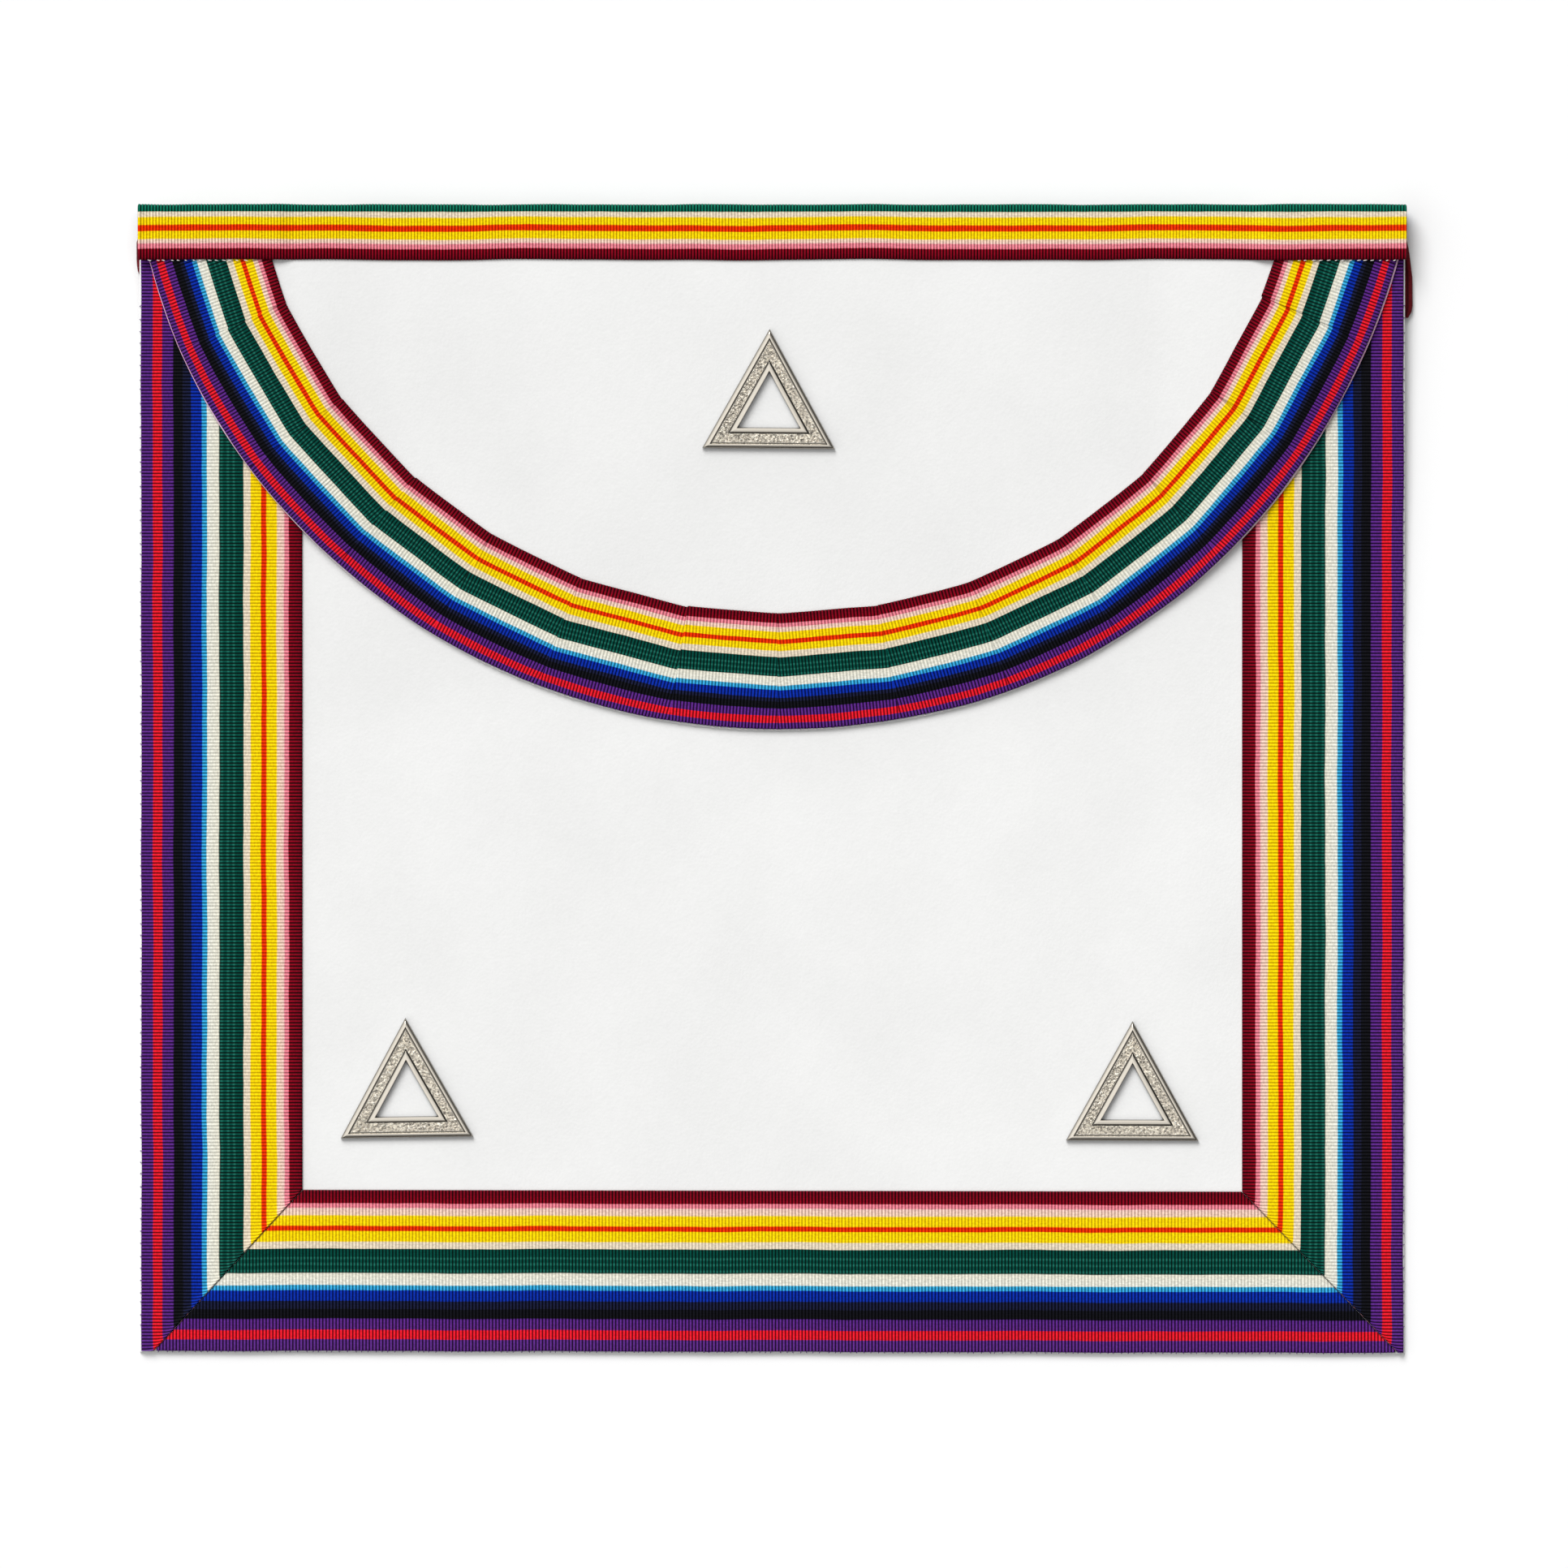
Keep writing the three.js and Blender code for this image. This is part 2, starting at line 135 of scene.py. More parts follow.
@dataclass(frozen=True)
class ApronPlan:
    """Where each layer lies, with its lengths in millimetres.

    Args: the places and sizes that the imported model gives; the walls and clearances of its layers
    are the other fields.
    """

    centre_x: float
    foot_y: float
    half_width: float
    depth: float
    top_edge: float
    border_foot: float
    border_width: float
    flap_foot: float
    ribbon_foot: float
    panel_wall: float = 1.2
    ribbon_wall: float = 1.0
    flap_wall: float = 1.2
    belt_wall: float = 1.2
    layer_gap: float = 0.25
    band_front: float = 17.0
    band_clearance: float = 0.3
    border_inset: float = 0.5
    flap_overreach: float = 2.3
    flap_shift: float = 0.9
    flap_side_inset: float = 0.5
    flap_ease: float = 30.0
    flap_ribbon_width: float = 37.0
    tuck_jog: float = 0.6
    band_ease: float = 8.0
    rise_run: float = 150.0
    rise_rounding: float = 0.15
    foot_drop: float = 0.3
    foot_slope: float = 0.002

    @classmethod
    def measured(cls) -> "ApronPlan":
        """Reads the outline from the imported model.

        Returns:
            The plan.
        """
        panel_low, panel_high = (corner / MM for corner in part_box("apron_panel"))
        foot_low, foot_high = (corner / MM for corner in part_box("border_foot"))
        return cls(
            centre_x=(panel_low.x + panel_high.x) / 2,
            foot_y=panel_low.y,
            half_width=(panel_high.x - panel_low.x) / 2,
            depth=(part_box("waist_band")[1] / MM).y - panel_low.y,
            top_edge=panel_high.y - panel_low.y,
            border_foot=foot_low.y - panel_low.y,
            border_width=foot_high.y - foot_low.y,
            flap_foot=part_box("flap_panel")[0].y / MM - panel_low.y,
            ribbon_foot=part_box("flap_ribbon")[0].y / MM - panel_low.y,
        )

    @property
    def band_hem(self) -> float:
        """Height in the plan of the waist band's front hem."""
        return self.depth - self.band_front

    @property
    def border_outer(self) -> float:
        """Distance of the border's outer edge from the centre line."""
        return self.half_width - self.border_inset

    @property
    def border_inner(self) -> float:
        """Distance of the border's inner edge from the centre line."""
        return self.border_outer - self.border_width

    @property
    def border_foot_inner(self) -> float:
        """Height in the plan of the foot border's inner edge."""
        return self.border_foot + self.border_width

    @property
    def band_back_top(self) -> float:
        """Height off the table of the band's rear layer, over the belt's folded ends."""
        return 2 * (self.belt_wall + self.layer_gap) + self.ribbon_wall

    @property
    def flap_radius(self) -> float:
        """Radius of the flap's edge, whose circle meets the top edge a little past the sides."""
        drop = self.depth - self.flap_foot
        return ((self.half_width + self.flap_overreach) ** 2 + drop**2) / (2 * drop)

    @property
    def flap_centre_y(self) -> float:
        """Height in the plan of the flap circle's centre."""
        return self.flap_foot + self.flap_radius

    @property
    def ribbon_outer(self) -> float:
        """Radius of the flap ribbon's outer edge."""
        return self.flap_centre_y - self.ribbon_foot

    @property
    def ribbon_inner(self) -> float:
        """Radius of the flap ribbon's inner edge."""
        return self.ribbon_outer - self.flap_ribbon_width

    @property
    def flap_side(self) -> float:
        """Distance of the flap's straight sides from the centre line."""
        return self.half_width - self.flap_side_inset

    def foot_lean(self, x: np.ndarray) -> np.ndarray:
        """How far the hand-trimmed foot hangs down at a distance from the centre line."""
        return self.foot_drop + self.foot_slope * np.clip(x, -self.border_inner, self.border_inner)

    def corner_lean(self, side: Side) -> float:
        """How far the foot hangs down at one corner."""
        return float(self.foot_lean(np.array(side.value * self.border_outer)))

    def panel_under(self, y: np.ndarray) -> np.ndarray:
        """Underside of the panel: on the table at the foot, over the belt at the waist.

        Args:
            y: heights in the plan.

        Returns:
            The heights off the table.
        """
        t = clamp((y - (self.band_hem - self.rise_run)) / self.rise_run)
        r = self.rise_rounding
        bend = 2 * r * (1 - r)
        middle = (t - r / 2) / (1 - r)
        ramp = np.where(t < r, t**2 / bend, np.where(t > 1 - r, 1 - (1 - t) ** 2 / bend, middle))
        return (self.band_back_top + self.layer_gap) * ramp

    def border_under(self, y: np.ndarray) -> np.ndarray:
        """Underside of the border ribbons."""
        return self.panel_under(y) + self.panel_wall + self.layer_gap

    def flap_under(self, x: np.ndarray, y: np.ndarray) -> np.ndarray:
        """Underside of the flap, which climbs onto the border ribbons at the sides."""
        on_border = smooth((np.abs(x) - (self.border_inner - self.flap_ease)) / self.flap_ease)
        return self.border_under(y) + (self.ribbon_wall + self.layer_gap) * on_border

    def flap_ribbon_under(self, x: np.ndarray, y: np.ndarray) -> np.ndarray:
        """Underside of the flap's ribbon."""
        return self.flap_under(x, y) + self.flap_wall + self.layer_gap

    def band_front_under(self, x: np.ndarray) -> np.ndarray:
        """Inside of the band's front layer, which climbs onto the flap's ribbon at the sides.

        Args:
            x: distances from the centre line.

        Returns:
            The heights off the table.
        """
        start = math.sqrt(self.ribbon_inner**2 - (self.flap_centre_y - self.band_hem) ** 2)
        run = self.band_ease - self.flap_shift - self.tuck_jog
        ramp = (np.abs(x) - (start - self.band_ease)) / run
        bare = self.flap_ribbon_under(x, np.full_like(x, self.band_hem))
        return bare + (self.ribbon_wall + self.layer_gap) * smooth(ramp)


def linear(colour: str) -> tuple[float, float, float, float]:
    """Turns an sRGB hex colour to linear.

    Args:
        colour: such as "#c8a0ff".

    Returns:
        The linear red, green and blue, and a full alpha.
    """
    parts = [int(colour[start : start + 2], 16) / 255 for start in (1, 3, 5)]
    red, green, blue = (p / 12.92 if p <= 0.04045 else ((p + 0.055) / 1.055) ** 2.4 for p in parts)
    return red, green, blue, 1.0


def add_node(
    tree: bpy.types.NodeTree, kind: str, links: dict[str | int, object] | None = None, **settings: object
) -> bpy.types.Node:
    """Adds one node.

    Args:
        tree: the material's or world's node tree.
        kind: the node's type, less its usual prefix.
        links: what each input, by name or number, gets: a node's first output, an output or a value.
        settings: the node's own properties.

    Returns:
        The new node.
    """
    node = tree.nodes.new(f"ShaderNode{kind}")
    for name, value in settings.items():
        setattr(node, name, value)
    for name, value in (links or {}).items():
        source = value.outputs[0] if isinstance(value, bpy.types.Node) else value
        if isinstance(source, bpy.types.NodeSocket):
            tree.links.new(source, node.inputs[name])
        else:
            node.inputs[name].default_value = source
    return node


def set_stops(node: bpy.types.Node, stops: Stops) -> None:
    """Gives a colour ramp its stops.

    Args:
        node: the ramp's node.
        stops: places from 0 to 1, each with its hex colour.
    """
    ramp = node.color_ramp
    while len(ramp.elements) < len(stops):
        ramp.elements.new(1.0)
    for element, (place, colour) in zip(ramp.elements, stops, strict=True):
        element.position = place
        element.color = linear(colour)


def new_material(name: str) -> tuple[bpy.types.Material, Callable[..., bpy.types.Node]]:
    """Starts a material.

    Args:
        name: the material's name.

    Returns:
        The material, with no nodes, and add_node for its tree.
    """
    material = bpy.data.materials.new(name)
    material.use_nodes = True
    material.node_tree.nodes.clear()
    return material, partial(add_node, material.node_tree)


def put_surface(add: Callable[..., bpy.types.Node], shader: dict[str | int, object]) -> None:
    """Ends a material with its surface shader, made of the inputs given, and its output."""
    surface = add("BsdfPrincipled", shader)
    add("OutputMaterial", {"Surface": surface})


@dataclass(frozen=True)
class Stripe:
    """One woven stripe, from the maroon edge: its yarns, and its width in each cut of ribbon.

    start and end are the colours of the rib crests at its two edges and groove the colour between
    ribs; together they paint the ribs' light and shade, the crests lighter and the grooves far darker
    than the stripe seen as a whole.
    """

    name: str
    start: str
    end: str
    groove: str
    border: float
    flap: float
    band: float


STRIPES = (
    Stripe("maroon", "#6f0319", "#90041d", "#000000", 4.25, 3.15, 3.52),
    Stripe("pink", "#f78697", "#ea8794", "#924c56", 1.50, 1.25, 1.56),
    Stripe("blush", "#f0c6bf", "#f2d2b3", "#ac9081", 2.35, 1.45, 1.38),
    Stripe("yellow", "#fad505", "#fad404", "#b19500", 3.22, 2.30, 2.55),
    Stripe("orange", "#ed3401", "#ed3501", "#9c1500", 1.64, 1.50, 1.95),
    Stripe("yellow", "#fad503", "#fad508", "#b19500", 3.37, 2.20, 2.51),
    Stripe("cream", "#e0d1ba", "#ded0b8", "#b2a692", 2.23, 1.95, 1.55),
    Stripe("green", "#01483d", "#014a3e", "#000906", 7.67, 6.10, 7.08),
    Stripe("ivory", "#ded9c6", "#dddfd6", "#b4b3a7", 3.84, 2.90, 3.40),
    Stripe("sky", "#40b0d7", "#34a4e4", "#0e506c", 1.56, 1.40, 1.50),
    Stripe("royal", "#082fad", "#0b2fa4", "#000739", 3.43, 2.50, 2.80),
    Stripe("navy", "#171d3f", "#1b1d37", "#000000", 2.50, 1.30, 2.20),
    Stripe("black", "#101119", "#111016", "#000000", 3.10, 2.30, 2.60),
    Stripe("purple", "#5c298a", "#602882", "#0b0115", 3.45, 2.45, 2.90),
    Stripe("red", "#f31d2e", "#ed1f30", "#550004", 3.06, 2.30, 2.75),
    Stripe("purple", "#5e2c8a", "#5d2c81", "#0b0215", 3.63, 1.95, 2.85),
)


@dataclass(frozen=True)
class Grosgrain:
    """Rayon-faced grosgrain, woven in warp stripes over thick cotton ribs.

    The eye gets even, closely set ribs whose crests catch the light and whose grooves go dark, hard
    stripe edges a thread wide, and a low silky sheen. The dark of the grooves is painted shade in the
    colour as well as modelled. The warp's threads are 0.2 mm apart, too fine to show, so they are
    drawn 0.5 mm apart. Where the green lies over the band's fold it is painted brighter, a painted
    highlight whose colour is the last field.
    """

    cut: Cut
    roughness: float = 0.5
    edge: float = 0.1
    thread: float = 0.5
    pins: tuple[float, ...] = (0.10, 0.364, 0.606)
    pin_half: float = 0.035
    pin_share: float = 0.45
    pin_colour: str = "#2c8573"
    # The colour of the painted highlight on the green where it lies over the band's fold.
    highlit_green: str = ""

    @property
    def widths(self) -> tuple[float, ...]:
        """The stripes' widths in this cut."""
        return tuple(getattr(stripe, self.cut.value) for stripe in STRIPES)

    @property
    def full_width(self) -> float:
        """The ribbon's whole width as woven."""
        return sum(self.widths)

    def ramps(self) -> tuple[Stops, Stops]:
        """Lays the stripes' colours out across the ribbon.

        Returns:
            The stops of the crests' ramp and of the grooves' ramp.
        """
        crests: Stops = []
        grooves: Stops = []
        reached = 0.0
        for stripe, width in zip(STRIPES, self.widths, strict=True):
            first = (reached + self.edge / 2) / self.full_width
            reached += width
            last = (reached - self.edge / 2) / self.full_width
            # Over the band's fold the green takes its painted highlight.
            turned = self.highlit_green if stripe.name == "green" else ""
            crests += [(first, turned or stripe.start), (last, turned or stripe.end)]
            grooves += [(first, stripe.groove), (last, stripe.groove)]
        return crests, grooves

    def pin_stops(self) -> Stops:
        """Picks out the light pin-lines within the green stripe.

        Returns:
            The stops, white on the pins and black beside them.
        """
        green = [stripe.name for stripe in STRIPES].index("green")
        start = sum(self.widths[:green])
        width = self.widths[green]
        stops: Stops = [(0.0, "#000000")]
        for pin in self.pins:
            for offset, shade in ((-2, "#000000"), (-0.6, "#ffffff"), (0.6, "#ffffff"), (2, "#000000")):
                place = start + width * (1 - pin + offset * self.pin_half)
                stops.append((place / self.full_width, shade))
        return sorted(stops)

    def material(self) -> bpy.types.Material:
        """Builds the ribbon from its weave map, with shade painted in its folds and seams.

        Returns:
            The material.
        """
        material, add = new_material(f"grosgrain_{self.cut.value}")
        weave = add("UVMap", uv_map="weave")
        parts = add("SeparateXYZ", {0: weave})
        ribs, across = parts.outputs[0], parts.outputs[1]

        slow = add("VectorMath", {0: weave, 1: (0.09, 0.35, 0)}, operation="MULTIPLY")
        wander = add("TexNoise", {0: slow, "Scale": 1.0}, noise_dimensions="2D")
        shift = add("Math", {0: wander, 1: 0.3, 2: -0.15}, operation="MULTIPLY_ADD")
        stripe_at = add("Math", {0: across, 1: shift}, operation="ADD")
        share = add("Math", {0: stripe_at, 1: self.full_width}, operation="DIVIDE")
        crest_ramp, groove_ramp, pin_ramp = (add("ValToRGB", {0: share}) for _ in range(3))
        crest_stops, groove_stops = self.ramps()
        set_stops(crest_ramp, crest_stops)
        set_stops(groove_ramp, groove_stops)
        set_stops(pin_ramp, self.pin_stops())

        # The rib wave mixes the two ramps: painted light on the crests, painted shade in the grooves.
        turn = add("Math", {0: ribs, 1: math.pi}, operation="MULTIPLY")
        wave = add("Math", {0: turn}, operation="SINE")
        size = add("Math", {0: wave}, operation="ABSOLUTE")
        crest = add("Math", {0: size, 1: 2.0}, operation="POWER")
        pins = add("Math", {0: pin_ramp, 1: self.pin_share}, operation="MULTIPLY")
        pinned = add("Mix", {0: pins, 6: crest_ramp, 7: linear(self.pin_colour)}, data_type="RGBA")
        woven = add("Mix", {0: crest, 6: groove_ramp, 7: pinned.outputs[2]}, data_type="RGBA")

        fibre_place = add("VectorMath", {0: weave, 1: (1.0, 1.7, 0)}, operation="MULTIPLY")
        fibre = add("TexNoise", {0: fibre_place, "Scale": 1.0, "Detail": 3.0}, noise_dimensions="2D")
        fibre_shade = add("MapRange", {0: fibre, 1: 0.3, 2: 0.7, 3: 0.85, 4: 1.15})
        # Painted shade in folds and seams: the colour falls to a quarter where the painted-light value is
        # full.
        crease = add("Attribute", attribute_name="crease").outputs["Fac"]
        painted_fold_shade = add("MapRange", {0: crease, 3: 1.0, 4: 0.25})
        shade = add("Math", {0: fibre_shade, 1: painted_fold_shade}, operation="MULTIPLY")
        colour = add("VectorMath", {0: woven.outputs[2], 3: shade}, operation="SCALE")

        threads = add("Math", {0: across, 1: 2 * math.pi / self.thread}, operation="MULTIPLY")
        thread_wave = add("Math", {0: threads}, operation="SINE")
        relief = add("Math", {0: thread_wave, 1: 0.35, 2: fibre}, operation="MULTIPLY_ADD")
        shader = {
            "Base Color": colour,
            "Roughness": self.roughness,
            "IOR": 1.5,
            "Specular IOR Level": 0.03,
            "Sheen Weight": 0.01,
            "Sheen Roughness": 0.4,
            "Normal": add("Bump", {"Height": relief, "Strength": 0.35, "Distance": 0.08 * MM}),
        }
        put_surface(add, shader)
        return material


@dataclass(frozen=True)
class Lambskin:
    """White lambskin, tanned with alum and finished with a thin matt white coat.

    The eye gets a clean, faintly pebbled white with a soft satin light on it, no fibres, and only a
    breath of cloudiness. Its pebbles are 0.4 mm across, drawn 0.9 mm so that they show.
    """

    colour: str = "#dcdcdb"
    shade: str = "#d8d8d7"
    # The pink-purple of a painted reflection of the purple ribbon on the flap's edge.
    reflected_purple: str = "#e2a9cb"
    pebble: float = 0.9
    wrinkle: float = 2.2
    cloud: float = 45.0
    roughness: float = 0.52
    roughness_spread: float = 0.05

    def material(self) -> bpy.types.Material:
        """Builds the leather, with a painted reflection of the purple ribbon where the painted-light value
        says.

        Returns:
            The material.
        """
        material, add = new_material("lambskin_white_matt")
        place = add("TexCoord").outputs["Object"]
        cloud = add("TexNoise", {"Vector": place, "Scale": 1 / (self.cloud * MM), "Detail": 3.0})
        grain = {"Vector": place, "Scale": 1 / (self.pebble * MM), "Smoothness": 0.6}
        pebbles = add("TexVoronoi", grain, feature="SMOOTH_F1")
        wrinkle = {"Vector": place, "Scale": 1 / (self.wrinkle * MM), "Detail": 5.0, "Roughness": 0.65}
        wrinkles = add("TexNoise", wrinkle)
        cloud_share = add("MapRange", {0: cloud, 1: 0.35, 2: 0.65})
        tones = {6: linear(self.shade), 7: linear(self.colour)}
        clouded = add("Mix", {0: cloud_share, **tones}, data_type="RGBA")
        grain_share = add("MapRange", {0: wrinkles, 1: 0.3, 2: 0.7, 3: 0.985, 4: 1.015})
        colour = add("VectorMath", {0: clouded.outputs[2], 3: grain_share}, operation="SCALE")
        # Painted reflection: the flap's cut edge beside the purple ribbon takes a pink-purple tint.
        reflection_share = add("Attribute", attribute_name="crease").outputs["Fac"]
        painted_light_mix = add("Mix", {0: reflection_share, 6: colour, 7: linear(self.reflected_purple)}, data_type="RGBA")
        height = add("Math", {0: wrinkles, 1: 0.8, 2: pebbles}, operation="MULTIPLY_ADD")
        low, high = self.roughness - self.roughness_spread, self.roughness + self.roughness_spread
        shader = {
            "Base Color": painted_light_mix.outputs[2],
            "Roughness": add("MapRange", {0: wrinkles, 1: 0.3, 2: 0.7, 3: low, 4: high}),
            "IOR": 1.5,
            "Specular IOR Level": 0.2,
            "Normal": add("Bump", {"Height": height, "Strength": 0.25, "Distance": 0.12 * MM}),
        }
        put_surface(add, shader)
        return material


@dataclass(frozen=True)
class CottonWebbing:
    """Dark red cotton webbing, woven in a plain rib.

    The eye gets dull, deep red cords that run across the belt with a dry, fibrous surface.
    """

    colour: str = "#5e1018"
    # Painted shade between the cords.
    groove: str = "#26050a"
    roughness: float = 0.82

    def material(self) -> bpy.types.Material:
        """Builds the webbing from its weave map.

        Returns:
            The material.
        """
        material, add = new_material("cotton_webbing_dark_red")
        weave = add("UVMap", uv_map="weave")
        ribs = add("SeparateXYZ", {0: weave})
        turn = add("Math", {0: ribs, 1: math.pi}, operation="MULTIPLY")
        wave = add("Math", {0: turn}, operation="SINE")
        crest = add("Math", {0: wave}, operation="ABSOLUTE")
        fibre = add("TexNoise", {0: weave, "Scale": 2.5, "Detail": 4.0}, noise_dimensions="2D")
        # Cords in their colour and the troughs between them in painted shade.
        painted_light_mix = add("Mix", {0: crest, 6: linear(self.groove), 7: linear(self.colour)}, data_type="RGBA")
        shade = add("MapRange", {0: fibre, 1: 0.3, 2: 0.7, 3: 0.75, 4: 1.2})
        shader = {
            "Base Color": add("VectorMath", {0: painted_light_mix.outputs[2], 3: shade}, operation="SCALE"),
            "Roughness": self.roughness,
            "IOR": 1.5,
            "Sheen Weight": 0.02,
            "Specular IOR Level": 0.08,
            "Normal": add("Bump", {"Height": fibre, "Strength": 0.5, "Distance": 0.1 * MM}),
        }
        put_surface(add, shader)
        return material


@dataclass(frozen=True)
class NickelPlate:
    """Nickel plate over die-struck brass.

    The eye gets warm grey metal: polished rims that are near white or near black by turns, and a
    ground struck with fine grains that scatter the light. The grains are 0.3 mm, drawn 0.75 mm.
    """

    name: str
    colour: str = "#ebe3d5"
    roughness: float = 0.18
    ground_roughness: float = 0.38
    grain: float = 0.75
    relief: float = 1.0
    rim_relief: float = 0.008
    mottle: float = 3.6
    # The deepest painted shade, as a share of the plate's colour.
    painted_shade: float = 0.07

    def material(self) -> bpy.types.Material:
        """Builds the plate, grained where its weave map says and darkened by painted shade where its section
        says.

        Returns:
            The material.
        """
        material, add = new_material(self.name)
        place = add("TexCoord").outputs["Object"]
        grain = {"Vector": place, "Scale": 1 / (self.grain * MM), "Detail": 4.0, "Roughness": 0.6}
        grains = add("TexNoise", grain)
        # Painted shade: the section's values darken the grooves beside the rims, the frame's walls and,
        # faintly, the ground.
        crease = add("Attribute", attribute_name="crease").outputs["Fac"]
        painted_shade = add("MapRange", {0: crease, 3: 1.0, 4: self.painted_shade})
        ground = add("SeparateXYZ", {0: add("UVMap", uv_map="weave")})
        uneven = add("Math", {0: grains, 1: 0.5}, operation="SUBTRACT")
        struck = add("Math", {0: uneven, 1: ground}, operation="MULTIPLY")
        mottle = add("Math", {0: struck, 1: self.mottle, 2: 1.0}, operation="MULTIPLY_ADD")
        shade = add("Math", {0: painted_shade, 1: mottle}, operation="MULTIPLY")
        relief = add("Math", {0: ground, 1: self.relief, 2: self.rim_relief}, operation="MULTIPLY_ADD")
        shader = {
            "Base Color": add("VectorMath", {0: linear(self.colour)[:3], 3: shade}, operation="SCALE"),
            "Metallic": 1.0,
            "Roughness": add("MapRange", {0: ground, 3: self.roughness, 4: self.ground_roughness}),
            "Normal": add("Bump", {"Height": grains, "Strength": relief, "Distance": 1.2 * MM}),
        }
        put_surface(add, shader)
        return material


@dataclass(frozen=True)
class SewingThread:
    """Spun polyester sewing thread.

    The eye gets small dull strands with a twist in them.
    """

    name: str
    colour: str
    roughness: float = 0.6
    twist: float = 0.3

    def material(self) -> bpy.types.Material:
        """Builds the thread.

        Returns:
            The material.
        """
        material, add = new_material(self.name)
        place = add("TexCoord").outputs["Object"]
        twist = add("TexNoise", {"Vector": place, "Scale": 1 / (self.twist * MM), "Detail": 2.0})
        shade = add("MapRange", {0: twist, 1: 0.3, 2: 0.7, 3: 0.75, 4: 1.15})
        shader = {
            "Base Color": add("VectorMath", {0: linear(self.colour)[:3], 3: shade}, operation="SCALE"),
            "Roughness": self.roughness,
            "IOR": 1.5,
            "Sheen Weight": 0.1,
            "Normal": add("Bump", {"Height": twist, "Strength": 0.4, "Distance": 0.05 * MM}),
        }
        put_surface(add, shader)
        return material


@dataclass
class Skin:
    """Rings of points to be joined into one closed skin. Each array is rows by points.

    points are plan millimetres; weave is ribs along the cloth and millimetres across it; the third
    array is light painted into the colour, from 0 for none to 1 for the most: painted shade in
    folds, seams and grooves, and a painted reflection of the purple ribbon on the flap's edge.
    """

    points: np.ndarray
    weave: np.ndarray
    crease: np.ndarray
    loops_round: bool = False

    @classmethod
    def of(
        cls,
        x: np.ndarray,
        y: np.ndarray,
        z: np.ndarray,
        ribs: np.ndarray | float = 0.0,
        across: np.ndarray | float = 0.0,
        crease: np.ndarray | float = 0.0,
    ) -> "Skin":
        """Stacks rows-by-points arrays, with no weave or painted light where none is given."""
        weave, fold = (np.zeros_like(z) + part for part in (ribs, across)), np.zeros_like(z) + crease
        return cls(np.stack([x, y, z], axis=-1), np.stack(list(weave), axis=-1), fold)

    def faces(self) -> list[tuple[int, ...]]:
        """Joins the rings.

        Returns:
            The quads between neighbouring rings, and a cap at each open end.
        """
        rows, count = self.points.shape[:2]
        last = rows if self.loops_round else rows - 1
        row = np.arange(last)[:, None] * count
        above = ((np.arange(last)[:, None] + 1) % rows) * count
        here = np.arange(count)[None, :]
        beside = (here + 1) % count
        quads = np.stack([row + here, row + beside, above + beside, above + here], axis=-1).reshape(-1, 4)
        faces = [tuple(quad) for quad in quads.tolist()]
        if not self.loops_round:
            faces.append(tuple(reversed(range(count))))
            faces.append(tuple(range((rows - 1) * count, rows * count)))
        if self._volume(quads) < 0:
            faces = [tuple(reversed(face)) for face in faces]
        return faces

    def _volume(self, quads: np.ndarray) -> float:
        """Measures what the quads enclose.

        Args:
            quads: the four corners of each.

        Returns:
            The signed volume, which is below zero if they face inwards.
        """
        points = self.points.reshape(-1, 3) - self.points.reshape(-1, 3).mean(axis=0)
        a, b, c, d = (points[quads[:, corner]] for corner in range(4))
        return float(((a * np.cross(b, c)).sum() + (a * np.cross(c, d)).sum()) / 6)


@dataclass
class Workshop:
    """Turns skins into pieces of the apron, in the row frame and in metres.

    Args: the plan, and the angle past which an edge is drawn sharp.
    """

    plan: ApronPlan
    crisp: float = math.radians(50)
    made: list[str] = field(default_factory=list)

    def piece(
        self, name: str, skins: Sequence[Skin], finish: bpy.types.Material, slot: str, node: str | None = None
    ) -> bpy.types.Object:
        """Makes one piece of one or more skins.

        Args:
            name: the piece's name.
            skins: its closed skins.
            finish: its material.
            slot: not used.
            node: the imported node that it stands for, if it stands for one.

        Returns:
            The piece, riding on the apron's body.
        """
        points = np.concatenate([skin.points.reshape(-1, 3) for skin in skins])
        weave = np.concatenate([skin.weave.reshape(-1, 2) for skin in skins])
        crease = np.concatenate([skin.crease.ravel() for skin in skins])
        faces: list[tuple[int, ...]] = []
        start = 0
        for skin in skins:
            faces += [tuple(corner + start for corner in face) for face in skin.faces()]
            start += skin.crease.size
        shift = np.array([self.plan.centre_x, self.plan.foot_y, 0.0])
        mesh = bpy.data.meshes.new(name)
        mesh.from_pydata(((points + shift) * MM).tolist(), [], faces)
        corners = np.empty(len(mesh.loops), dtype=np.int32)
        mesh.loops.foreach_get("vertex_index", corners)
        layer = mesh.uv_layers.new(name="weave")
        layer.uv.foreach_set("vector", weave[corners].astype(np.float32).ravel())
        # Each point carries its painted light, which the materials read as painted shade or painted
        # reflection.
        values = mesh.attributes.new("crease", "FLOAT", "POINT")
        values.data.foreach_set("value", crease.astype(np.float32))
        mesh.shade_smooth()
        mesh.set_sharp_from_angle(angle=self.crisp)
        mesh.materials.append(finish)
        mesh.validate()
        item = bpy.data.objects.new(name, mesh)
        bpy.context.scene.collection.objects.link(item)
        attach(item, BODY)
        if node is not None:
            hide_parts(node)
        mesh.calc_loop_triangles()
        log.info("%s: %d triangles", name, len(mesh.loop_triangles))
        self.made.append(name)
        return item


